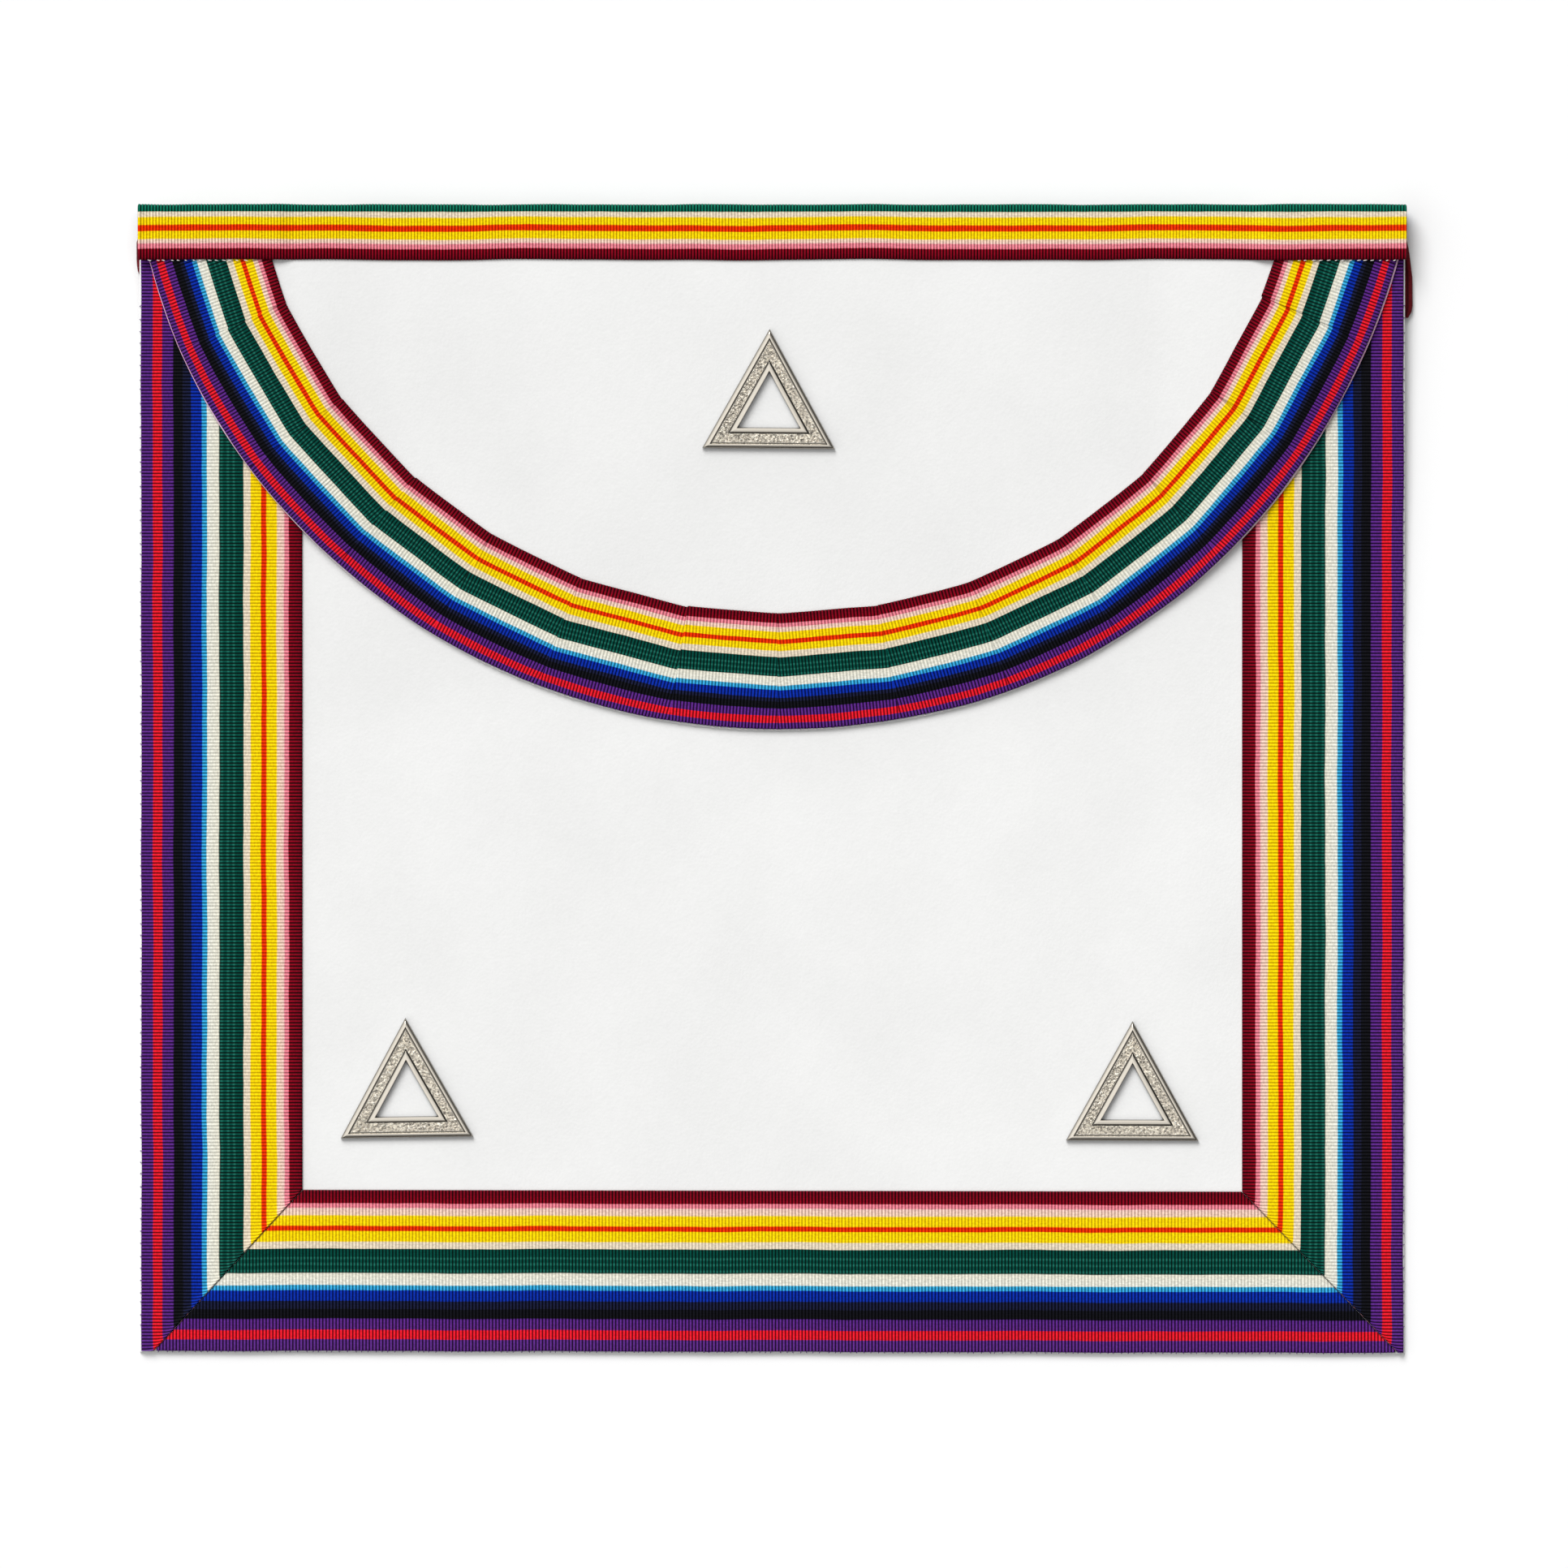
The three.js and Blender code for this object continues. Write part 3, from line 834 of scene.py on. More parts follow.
@dataclass(frozen=True)
class RibbedCloth:
    """A width of ribbed ribbon as it lies: its wall, ribs and rolled edges, in millimetres."""

    wall: float
    pitch: float
    depth: float = 0.22
    roll: float = 0.45
    edge_drop: float = 0.42
    scallop: float = 0.09
    fray_run: float = 0.25
    edge_groove: float = 0.35
    groove_run: float = 0.3
    rows_per_rib: int = 5
    face_columns: int = 13
    under_columns: int = 5
    under_inset: float = 0.12

    EDGE_STEPS = (0.0, 0.06, 0.18, 0.4, 0.9, 1.7)

    def rows(self, start: float, end: float) -> np.ndarray:
        """Places of the rings from start to end, whole ribs apart."""
        count = max(2, round((end - start) / self.pitch * self.rows_per_rib))
        return np.linspace(start, end, count + 1)

    def crest(self, ribs: np.ndarray) -> np.ndarray:
        """1 on top of a rib and 0 in the groove beside it."""
        return np.abs(np.sin(math.pi * ribs)) ** 0.7

    def groove(self, ribs: np.ndarray) -> np.ndarray:
        """How deep the groove beside a rib is."""
        return self.depth * (1 - self.crest(ribs))

    def face_places(self, width: np.ndarray) -> np.ndarray:
        """Places across the face, close together at its two edges.

        Args:
            width: the ribbon's width at each row.

        Returns:
            An array of rows by points, from 0 to the width.
        """
        steps = np.array(self.EDGE_STEPS)
        squeeze = np.minimum(1.0, width / (4 * steps[-1]))[:, None]
        near = steps[None, :] * squeeze
        share = np.linspace(0, 1, self.face_columns)[None, 1:-1]
        inner = near[:, -1:] + (width[:, None] - 2 * near[:, -1:]) * share
        return joined(near, inner, width[:, None] - near[:, ::-1])

    def under_places(self, width: np.ndarray) -> np.ndarray:
        """Places across the back.

        Args:
            width: the ribbon's width at each row.

        Returns:
            An array of rows by points, from the far edge to the near one.
        """
        inset = np.minimum(self.under_inset, width / 8)[:, None]
        share = np.linspace(1, 0, self.under_columns)[None, :]
        return inset + (width[:, None] - 2 * inset) * share

    def sink(self, from_edge: np.ndarray, ribs: np.ndarray) -> np.ndarray:
        """How far the face lies below the full wall, for its rolled edges and its grooves."""
        dropped = self.edge_drop * rolled(from_edge, self.roll)
        return dropped + self.groove(ribs) * clamp(self.edge_groove + from_edge / self.groove_run)

    def fray(self, from_edge: np.ndarray, ribs: np.ndarray) -> np.ndarray:
        """How far each rib's loop stands out past the edge."""
        return self.scallop * (self.crest(ribs) - 0.5) * bell(from_edge, self.fray_run)


@dataclass
class BorderRibbon:
    """The mitred ribbon on the two sides and the foot.

    Args: the plan, the cloth, how far in from each corner its mitre starts, the gap along the
    mitres, how the fold there lies, how sharp each ribbon's cut edge is there and how much shade is
    painted along it, and how the outer edge wanders.
    """

    plan: ApronPlan
    cloth: RibbedCloth = RibbedCloth(wall=0.8, pitch=1.05)
    mitre_shift: dict[Side, float] = field(default_factory=lambda: {Side.LEFT: 4.0, Side.RIGHT: 1.7})
    mitre_gap: float = 0.08
    foot_tip: float = 0.7
    lip_bend: float = 0.8
    lip_run: float = 0.6
    lip_rise: float = 0.36
    lip_crest: float = 0.45
    lip_half: float = 0.3
    lip_shift: float = 0.4
    side_sharpness: float = 1.8
    side_shade: float = 0.5
    side_shade_run: float = 0.2
    foot_sharpness: float = 2.5
    foot_shade: float = 0.8
    foot_shade_run: float = 0.25
    foot_tuck: float = 0.2
    foot_tuck_half: float = 0.7
    wander: float = 0.14
    wander_length: float = 70.0
    wander_reach: float = 6.0
    side_seed: int = 11
    foot_seed: int = 23
    no_seam: float = 9.0

    def cut_line(self, side: Side, y: np.ndarray) -> np.ndarray:
        """Follows a side ribbon's inner edge, which runs along the mitre at the foot.

        Args:
            side: which ribbon.
            y: heights in the plan.

        Returns:
            Its distance from the centre line.
        """
        plan = self.plan
        share = clamp((y + plan.corner_lean(side) - plan.border_foot) / plan.border_width)
        shift = self.mitre_shift[side]
        return plan.border_outer - shift - (plan.border_width - shift) * share

    def held(self, from_outer: np.ndarray) -> np.ndarray:
        """How much of the outer edge's wander is left at a distance from it."""
        return fade(from_outer, self.wander_reach)

    def side_skin(self, side: Side) -> Skin:
        """Lays the ribbon up one side, cut along the mitre at its foot.

        Args:
            side: which side.

        Returns:
            Its skin.
        """
        plan, cloth = self.plan, self.cloth
        lean = plan.corner_lean(side)
        y = cloth.rows(plan.border_foot - lean, plan.top_edge)
        width = plan.border_outer - self.cut_line(side, y)
        face, back = cloth.face_places(width), cloth.under_places(width)
        in_mitre = (y < plan.border_foot_inner - lean)[:, None]
        from_inner = width[:, None] - face
        seam = np.where(in_mitre, from_inner * math.sqrt(0.5), self.no_seam)
        edge = np.minimum(face, np.where(in_mitre, self.side_sharpness * seam, from_inner))
        lip = fade(seam, self.lip_run)
        ribs = y[:, None] / cloth.pitch - self.lip_bend * lip
        sway = drift(y, self.wander, self.wander_length, self.side_seed + side.value)[:, None]
        face_x = plan.border_outer - face + cloth.fray(face, ribs) + sway * self.held(face)
        back_x = plan.border_outer - back + sway * self.held(back)
        under = plan.border_under(y)
        fold = self.lip_rise * bell(seam - self.lip_crest, self.lip_half)
        face_z = under[:, None] + cloth.wall - cloth.sink(edge, ribs) + fold
        moved = self.lip_shift * lip * in_mitre - sway * (1 - self.held(face))
        x = side.value * joined(face_x, back_x)
        ribs_round = joined(ribs, widened(y, back) / cloth.pitch)
        across = plan.border_width - joined(face - moved, back)
        # Painted shade along the mitre's cut edge.
        shade = self.side_shade * fade(seam, self.side_shade_run) * in_mitre
        crease = joined(shade, np.zeros_like(back))
        return Skin.of(x, widened(y, x), joined(face_z, widened(under, back)), ribs_round, across, crease)

    def foot_skin(self) -> Skin:
        """Lays the ribbon along the foot, which runs under the two folded mitres.

        Returns:
            Its skin.
        """
        plan, cloth = self.plan, self.cloth
        cut = self.mitre_gap * math.sqrt(2)
        left = -plan.border_outer + self.mitre_shift[Side.LEFT] + cut
        right = plan.border_outer - self.mitre_shift[Side.RIGHT] - cut
        inner = plan.border_inner - cut
        x = cloth.rows(left + self.foot_tip, right - self.foot_tip)
        rise = np.minimum((x - left) / (-inner - left), (right - x) / (right - inner))
        in_mitre = (rise < 1)[:, None]
        width = plan.border_width * clamp(rise)
        face, back = cloth.face_places(width), cloth.under_places(width)
        from_inner = width[:, None] - face
        seam = np.where(in_mitre, from_inner * math.sqrt(0.5), self.no_seam)
        edge = np.minimum(face, np.where(in_mitre, self.foot_sharpness * seam, from_inner))
        ribs = widened(x, face) / cloth.pitch
        sway = drift(x, self.wander, self.wander_length, self.foot_seed)[:, None]
        foot = plan.border_foot - plan.foot_lean(x)[:, None]
        face_y = foot + face - cloth.fray(face, ribs) - sway * self.held(face)
        back_y = foot + back - sway * self.held(back)
        tucked = self.foot_tuck * bell(seam, self.foot_tuck_half)
        face_z = plan.border_under(face_y) + cloth.wall - cloth.sink(edge, ribs) - tucked
        y = joined(face_y, back_y)
        wide_x = widened(x, y)
        across = plan.border_width - joined(face + sway * (1 - self.held(face)), back)
        # Painted shade along the mitre's cut edge.
        shade = self.foot_shade * fade(seam, self.foot_shade_run) * in_mitre
        crease = joined(shade, np.zeros_like(back))
        z = joined(face_z, plan.border_under(back_y))
        return Skin.of(wide_x, y, z, wide_x / cloth.pitch, across, crease)

    def build(self, shop: Workshop, ribbon: bpy.types.Material) -> None:
        """Args:
            shop: makes the pieces.
            ribbon: their material.
        """
        for side, name in ((Side.LEFT, "border_left"), (Side.RIGHT, "border_right")):
            piece = shop.piece(f"{name}_grosgrain", [self.side_skin(side)], ribbon, "border_ribbon", name)
        foot = shop.piece("border_foot_grosgrain", [self.foot_skin()], ribbon, "border_ribbon", "border_foot")


@dataclass(frozen=True)
class Tuck:
    """A tuck in the flap's ribbon: its share of the way from the middle to the end, and its size."""

    at: float
    rise: float


TUCKS = (
    Tuck(-0.870, 1.0),
    Tuck(-0.711, 0.9),
    Tuck(-0.559, 0.9),
    Tuck(-0.424, 0.8),
    Tuck(-0.284, 0.6),
    Tuck(-0.125, 0.5),
    Tuck(0.003, 0.7),
    Tuck(0.147, 0.5),
    Tuck(0.280, 0.6),
    Tuck(0.421, 0.8),
    Tuck(0.573, 0.9),
    Tuck(0.723, 1.0),
    Tuck(0.876, 1.0),
)


@dataclass(frozen=True)
class EdgePlace:
    """How far the flap's hand-cut edge stands outside its circle, at an angle from the middle."""

    degrees: float
    out: float


FLAP_EDGE = (
    EdgePlace(-80, 0.1),
    EdgePlace(-73, 0.3),
    EdgePlace(-66, 1.0),
    EdgePlace(-60, 1.1),
    EdgePlace(-50, 0.75),
    EdgePlace(-37, 0.25),
    EdgePlace(-27, 0.0),
    EdgePlace(-15, -0.5),
    EdgePlace(0, -0.55),
    EdgePlace(8, -0.3),
    EdgePlace(18, 0.9),
    EdgePlace(28, 1.4),
    EdgePlace(40, 1.4),
    EdgePlace(50, 0.8),
    EdgePlace(60, -0.2),
    EdgePlace(73, -0.75),
)


@dataclass(frozen=True)
class FlapEdge:
    """The flap's edge: its wandering line, the leather past the ribbon, and how the leather thins."""

    side_peek: float = 0.4
    right_peek: float = 0.12
    foot_peek: float = 0.2
    skive: float = 0.5
    skive_run: float = 4.0
    reflection_run: float = 0.8

    def out(self, angle: np.ndarray) -> np.ndarray:
        """How far the whole edge stands outside its circle."""
        places = [(place.degrees, place.out) for place in FLAP_EDGE]
        return np.interp(np.degrees(angle), *zip(*places, strict=True))

    def peek(self, angle: np.ndarray) -> np.ndarray:
        """How far the leather shows past the ribbon, more on the right and most at the flap's foot."""
        return self.side_peek + self.right_peek * np.sin(angle) + self.foot_peek * np.cos(angle) ** 6

    def painted_light_mix(self, inside: np.ndarray, angle: np.ndarray) -> np.ndarray:
        """How much painted reflection of the purple ribbon lies on the leather's cut edge, at the flap's
        sides.
        """
        from_cut = np.maximum(inside + self.peek(angle), 0.0)
        return fade(from_cut, self.reflection_run) * clamp(1.6 * np.sin(angle) ** 4)

    def thinned(self, inside: np.ndarray) -> np.ndarray:
        """How much thinner the leather is at a distance inside the ribbon's outer edge."""
        return self.skive * fade(np.maximum(inside, 0.0), self.skive_run)


@dataclass
class FlapRibbon:
    """The ribbon tucked round the flap's curve.

    Args: the plan, the cloth, the flap's edge, how high, how far in and how long each tuck laps
    over the one before it, how its fold rises, how much shade is painted at and beside each fold,
    where across the ribbon it eases into the outer curve, and how the ribbon wanders.
    """

    plan: ApronPlan
    cloth: RibbedCloth = RibbedCloth(wall=0.8, pitch=1.05, face_columns=14)
    edge: FlapEdge = FlapEdge()
    tuck_rise: float = 0.32
    tuck_jog: float = 0.14
    tuck_round: float = 1.6
    tuck_turn: float = 0.09
    tuck_run: float = 12.0
    tuck_gap: float = 0.03
    straight_share: float = 0.58
    eased_share: float = 0.42
    fold_shade: float = 0.5
    fold_shade_half: float = 0.22
    soft_shade: float = 0.15
    soft_shade_run: float = 2.5
    ahead_shade: float = 0.25
    ahead_shade_run: float = 0.5
    fold_steps: tuple[tuple[float, float], ...] = ((0.0, 0.0), (0.05, 0.55), (0.16, 0.86), (0.34, 1.0))
    wander: float = 0.12
    wander_length: float = 60.0
    wander_reach: float = 5.0
    seed: int = 31

    def end_angle(self, ring: np.ndarray) -> np.ndarray:
        """Finds where a ring ends: under the band, or at the panel's side if that is nearer.

        Args:
            ring: radii.

        Returns:
            The angle from the middle at which each of them ends.
        """
        plan = self.plan
        end_y = plan.top_edge - 2 * plan.band_clearance
        at_top = np.arccos((plan.flap_centre_y - end_y) / ring)
        at_side = np.arcsin(np.minimum(1.0, (plan.flap_side - plan.flap_shift) / ring))
        return np.minimum(at_top, at_side)

    @property
    def curve_end(self) -> float:
        """The angle at which the ribbon's outer edge ends."""
        return float(self.end_angle(np.array([self.plan.ribbon_outer]))[0])

    def skin(self) -> Skin:
        """Lays the whole ribbon from its left end to its right end, tuck by tuck.

        Returns:
            Its skin.
        """
        plan, cloth = self.plan, self.cloth
        width = plan.flap_ribbon_width
        middle = plan.ribbon_inner + width / 2
        angles = [-self.curve_end, *(tuck.at * self.curve_end for tuck in TUCKS), self.curve_end]
        rises = [0.0, *(tuck.rise for tuck in TUCKS)]
        face = cloth.face_places(np.array([width]))[0]
        back = cloth.under_places(np.array([width]))[0]
        places = np.concatenate([face, back])
        on_face = np.concatenate([np.ones_like(face), np.zeros_like(back)])
        edge = np.minimum(places, width - places)
        outward = np.where(places > width / 2, 1, -1) * on_face
        ring = plan.ribbon_inner + places
        inward = 1 - places / width
        straight = 1 - smooth((places / width - self.straight_share) / self.eased_share)
        rings: list[tuple[np.ndarray, ...]] = []
        reached = 0.0
        for index, rise in enumerate(rises):
            start, stop = angles[index], angles[index + 1]
            first, last = index == 0, index == len(rises) - 1
            length = (stop - start) * middle
            begin = [0.0] if first else [step for step, _ in self.fold_steps]
            run = cloth.rows(begin[-1], length - (0.0 if last else self.tuck_gap))
            distances = np.concatenate([begin[:-1], run])
            lifted = np.interp(distances, *zip(*self.fold_steps, strict=True))
            start_at = -self.end_angle(ring) if first else np.full_like(ring, start)
            stop_at = self.end_angle(ring) if last else np.full_like(ring, stop)
            centre = (start + stop) / 2
            for distance, height in zip(distances, lifted, strict=True):
                angle = start_at + (stop_at - start_at) * distance / length
                chord = 1 / np.cos(angle - centre) - 1
                gone = (angle - start_at) * ring
                lap = rise * (1 - smooth(gone / self.tuck_run)) * height
                nearest = min(distance, length - distance)
                turned = self.tuck_turn * self.tuck_round * math.exp(-nearest / self.tuck_round)
                radius = ring + (ring * chord - turned) * straight - self.tuck_jog * lap * inward**3
                ribs = (radius * np.sin(angle - centre) + reached + length / 2) / cloth.pitch
                at = np.array([reached + distance])
                sway = drift(at, self.wander, self.wander_length, self.seed)[0]
                radius = radius + cloth.fray(edge, ribs) * outward + self.edge.out(angle)
                radius = radius + sway * fade(width - places, self.wander_reach)
                x = plan.flap_shift + radius * np.sin(angle)
                y = plan.flap_centre_y - radius * np.cos(angle)
                under = plan.flap_ribbon_under(x, y) - self.edge.thinned(width - places)
                raised = cloth.wall - cloth.sink(edge, ribs) + self.tuck_rise * lap * inward
                # Painted shade at each tuck: a dark line at its fold, a soft fall-off past it, and a dark
                # strip just before the next tuck laps over.
                fold = 0.0 if first else math.exp(-((distance / self.fold_shade_half) ** 2))
                soft = 0.0 if first else math.exp(-distance / self.soft_shade_run)
                ahead = 0.0 if last else math.exp(-((length - distance) / self.ahead_shade_run))
                shade = rise**2 * (self.fold_shade * fold + self.ahead_shade * ahead)
                shade = shade + self.soft_shade * rise * soft
                rings.append((x, y, under + raised * on_face, ribs, places, shade * inward))
            reached += length
        return Skin.of(*(np.array(part) for part in zip(*rings, strict=True)))

    def build(self, shop: Workshop, ribbon: bpy.types.Material) -> None:
        """Args:
            shop: makes the piece.
            ribbon: its material.
        """
        plan = self.plan
        piece = shop.piece("flap_ribbon_grosgrain", [self.skin()], ribbon, "flap_ribbon", "flap_ribbon")
        length = 2 * self.curve_end * plan.ribbon_outer
        width = plan.flap_ribbon_width
        width * 2 * self.curve_end * (plan.ribbon_inner + width / 2) * MM**2


@dataclass
class WaistBand:
    """The ribbon folded over the top edge.

    Args: the plan, the cloth, how its hem hangs, thins and wanders, how its crown wanders, how far it
    stands past each side, its fold, its rear hem, its rounded ends, and how its left end is turned in,
    with shade painted along that end's fold.
    """

    plan: ApronPlan
    cloth: RibbedCloth = RibbedCloth(wall=0.85, pitch=0.98)
    hem_drop: float = 0.5
    hem_taper: float = 0.3
    hem_run: float = 1.8
    hem_wander: float = 0.3
    hem_wander_length: float = 95.0
    hem_seed: int = 41
    crown_lift: float = 0.08
    crown_wander: float = 0.16
    crown_wander_length: float = 48.0
    crown_seed: int = 43
    overhang: float = 0.4
    bend: float = 0.8
    back_depth: float = 17.0
    back_hem_drop: float = 0.4
    bend_steps: int = 5
    end_drop: float = 0.35
    end_roll: float = 0.5
    end_fold: float = 1.2
    end_groove: float = 0.1
    end_groove_half: float = 0.22
    end_shade: float = 0.35
    end_shade_half: float = 0.25

    FACE_STEPS = (0.0, 0.07, 0.2, 0.45, 0.9, 1.5, 2.4, 5.0, 8.0, 11.0, 13.5)
    REAR_SHARES = (0.35, 0.7, 0.97, 1.0)

    def skin(self) -> Skin:
        """Folds the band over from front hem to rear hem and back along its inside.

        Returns:
            Its skin, in rows from its left end to its right end.
        """
        plan, cloth = self.plan, self.cloth
        reach = plan.half_width + self.overhang
        x = cloth.rows(-reach, reach)
        ribs = (x + reach) / cloth.pitch
        inside = plan.band_front_under(x)
        outer = self.bend + cloth.wall
        top_y = plan.depth - outer
        low_hem = plan.band_hem - self.hem_drop
        wander = drift(x, self.hem_wander, self.hem_wander_length, self.hem_seed)
        hem = low_hem + wander - cloth.fray(np.zeros_like(x), ribs)
        from_end = reach - np.abs(x)
        end_round = self.end_drop * rolled(from_end, self.end_roll)
        groove = cloth.groove(ribs)
        from_fold = from_end - self.end_fold
        end_line = self.end_groove * bell(from_fold, self.end_groove_half) * (x < 0)
        radius = outer - end_round - groove - end_line
        lean = drift(x, self.crown_wander, self.crown_wander_length, self.crown_seed)
        face_length = top_y - low_hem
        quarter = outer * math.pi / 2
        front_centre, rear_centre = inside - self.bend, plan.band_back_top + self.bend
        rear = face_length + 2 * quarter + front_centre - rear_centre
        rear_hem = plan.depth - self.back_depth
        turns = np.linspace(0, math.pi / 2, self.bend_steps)

        columns: list[tuple[np.ndarray | float, ...]] = []
        for step in self.FACE_STEPS:
            sunk = cloth.sink(np.full_like(x, step), ribs) + end_round + end_line
            sunk = sunk + self.hem_taper * max(0.0, 1 - step / self.hem_run) ** 2
            columns.append((hem + step, inside + cloth.wall - sunk, step))
        crowns = [top_y + (radius + lean) * math.sin(turn) + self.crown_lift for turn in turns]
        for turn, crown in zip(turns, crowns, strict=True):
            columns.append((crown, front_centre + radius * math.cos(turn), face_length + outer * turn))
        for turn, crown in zip(turns[::-1], crowns[::-1], strict=True):
            columns.append((crown, rear_centre - radius * math.cos(turn), rear - outer * turn))
        for share in self.REAR_SHARES:
            depth = (top_y - rear_hem) * share
            sunk = groove + (self.back_hem_drop if share == 1.0 else 0.0)
            columns.append((top_y - depth, plan.band_back_top - cloth.wall + sunk, rear + depth))
        columns.append((rear_hem + 0.1, plan.band_back_top, rear + top_y - rear_hem))
        for turn in turns:
            crown = top_y + self.bend * math.sin(turn)
            columns.append((crown, rear_centre - self.bend * math.cos(turn), rear - outer * turn))
        for turn in turns[::-1]:
            crown = top_y + self.bend * math.sin(turn)
            columns.append((crown, front_centre + self.bend * math.cos(turn), face_length + outer * turn))
        columns.append((hem + 0.12, inside, 0.1))

        y, z, across = (
            np.stack([np.broadcast_to(part, x.shape) for part in parts], axis=1)
            for parts in zip(*columns, strict=True)
        )
        # Painted shade along the fold of the turned-in left end.
        crease = self.end_shade * bell(from_fold, self.end_shade_half) * (x < 0)
        return Skin.of(widened(x, y), y, z, widened(ribs, y), across, widened(crease, y))

    def build(self, shop: Workshop, ribbon: bpy.types.Material) -> None:
        """Args:
            shop: makes the piece.
            ribbon: its material.
        """
        piece = shop.piece("waist_band_grosgrain", [self.skin()], ribbon, "band_ribbon", "waist_band")
        Grosgrain(Cut.BAND).full_width * MM


@dataclass
class LeatherPanels:
    """The white panel and the half-round flap.

    Args: the plan, how finely and how softly the skins are made, and the flap's edge.
    """

    plan: ApronPlan
    edge_round: float = 0.4
    rows: int = 90
    columns: int = 60
    flap_rows: int = 220
    under_inset: float = 0.15
    ripple: float = 0.09
    ripple_fade: float = 12.0
    lean_fade: float = 60.0
    edge: FlapEdge = FlapEdge()

    def ring(self, width: np.ndarray, wall: float) -> tuple[np.ndarray, np.ndarray]:
        """One sheet's outline across its width: the places, and the heights over its underside.

        Args:
            width: the width at each row.
            wall: the leather's thickness.

        Returns:
            Two arrays of rows by points, round the face and back along the underside.
        """
        turns = np.linspace(0, math.pi / 2, 5)
        near = self.edge_round * (1 - np.cos(turns))
        rise = wall - self.edge_round * (1 - np.sin(turns))
        share = np.linspace(0, 1, self.columns)[1:-1]
        inner = near[-1] + (width[:, None] - 2 * near[-1]) * share[None, :]
        left = np.repeat(near[None, :], len(width), axis=0)
        back_share = np.linspace(1, 0, self.columns // 2)[None, :]
        back = self.under_inset + (width[:, None] - 2 * self.under_inset) * back_share
        places = joined(left, inner, width[:, None] - left[:, ::-1], back)
        heights = np.concatenate([rise, np.full(len(share), wall), rise[::-1], np.zeros(back.shape[1])])
        return places, np.repeat(heights[None, :], len(width), axis=0)

    def panel_skin(self) -> Skin:
        """Lays the panel, flat at the foot and rising over the belt at the waist.

        Returns:
            Its skin.
        """
        plan = self.plan
        ends = self.edge_round * np.array([0.0, 0.12, 0.4, 1.0])
        y = np.concatenate([ends, np.linspace(0, plan.top_edge, self.rows)[1:-1], plan.top_edge - ends[::-1]])
        places, heights = self.ring(np.full(len(y), 2 * plan.half_width), plan.panel_wall)
        x = places - plan.half_width
        wide_y = widened(y, x)
        wide_y = wide_y - plan.foot_lean(x) * fade(wide_y, self.lean_fade)
        from_end = np.minimum(y, plan.top_edge - y)[:, None]
        rounded = self.edge_round * rolled(from_end, self.edge_round)
        bare = smooth((plan.border_inner - np.abs(x)) / self.ripple_fade)
        bare = bare * smooth((wide_y - plan.border_foot_inner) / self.ripple_fade)
        ripple = self.ripple * np.sin(x / 31 + wide_y / 47) * np.sin(wide_y / 39 - x / 83)
        under = plan.panel_under(wide_y)
        z = under + heights + (ripple * bare - rounded) * (heights > 0)
        return Skin.of(x, wide_y, np.maximum(z, under))

    def flap_skin(self) -> Skin:
        """Lays the flap, from its round edge up to the waist, in strips from left to right.

        Returns:
            Its skin.
        """
        plan = self.plan
        ribbon = plan.ribbon_outer
        left, right = (math.asin((way * plan.flap_side - plan.flap_shift) / (ribbon + 1)) for way in (-1, 1))
        angle = np.linspace(left, right, self.flap_rows)
        radius = ribbon + self.edge.out(angle) + self.edge.peek(angle)
        arc_y = plan.flap_centre_y - radius * np.cos(angle)
        places, heights = self.ring(plan.top_edge - arc_y, plan.flap_wall)
        x = widened(plan.flap_shift + radius * np.sin(angle), places)
        y = arc_y[:, None] + places
        from_centre = np.hypot(x - plan.flap_shift, plan.flap_centre_y - y)
        bearing = np.arctan2(x - plan.flap_shift, plan.flap_centre_y - y)
        inside = ribbon + self.edge.out(bearing) - from_centre
        z = plan.flap_under(x, y) + heights - self.edge.thinned(inside) * (heights > 0)
        # The flap's cut edge carries a painted reflection of the purple ribbon.
        return Skin.of(x, y, z, crease=self.edge.painted_light_mix(inside, bearing))

    def build(self, shop: Workshop, leather: bpy.types.Material) -> None:
        """Args:
            shop: makes the pieces.
            leather: their material.
        """
        skin = self.panel_skin()
        panel = shop.piece("apron_panel_lambskin", [skin], leather, "white_leather", "apron_panel")
        flap = shop.piece("flap_panel_lambskin", [self.flap_skin()], leather, "white_leather", "flap_panel")


@dataclass(frozen=True)
class BeltFold:
    """How far a belt's folded end stands out, at shares of its width from its upper edge."""

    reach: float
    across: tuple[float, ...]
    shares: tuple[float, ...]


BELT_FOLDS = {
    Side.LEFT: BeltFold(1.4, (0, 0.05, 0.3, 0.42, 0.5, 0.75, 1), (0.6, 0.8, 0.8, 0.6, -0.1, -0.7, -1.3)),
    Side.RIGHT: BeltFold(2.6, (0, 0.2, 0.5, 0.9, 1), (0.25, 0.6, 0.97, 1, 0.6)),
}


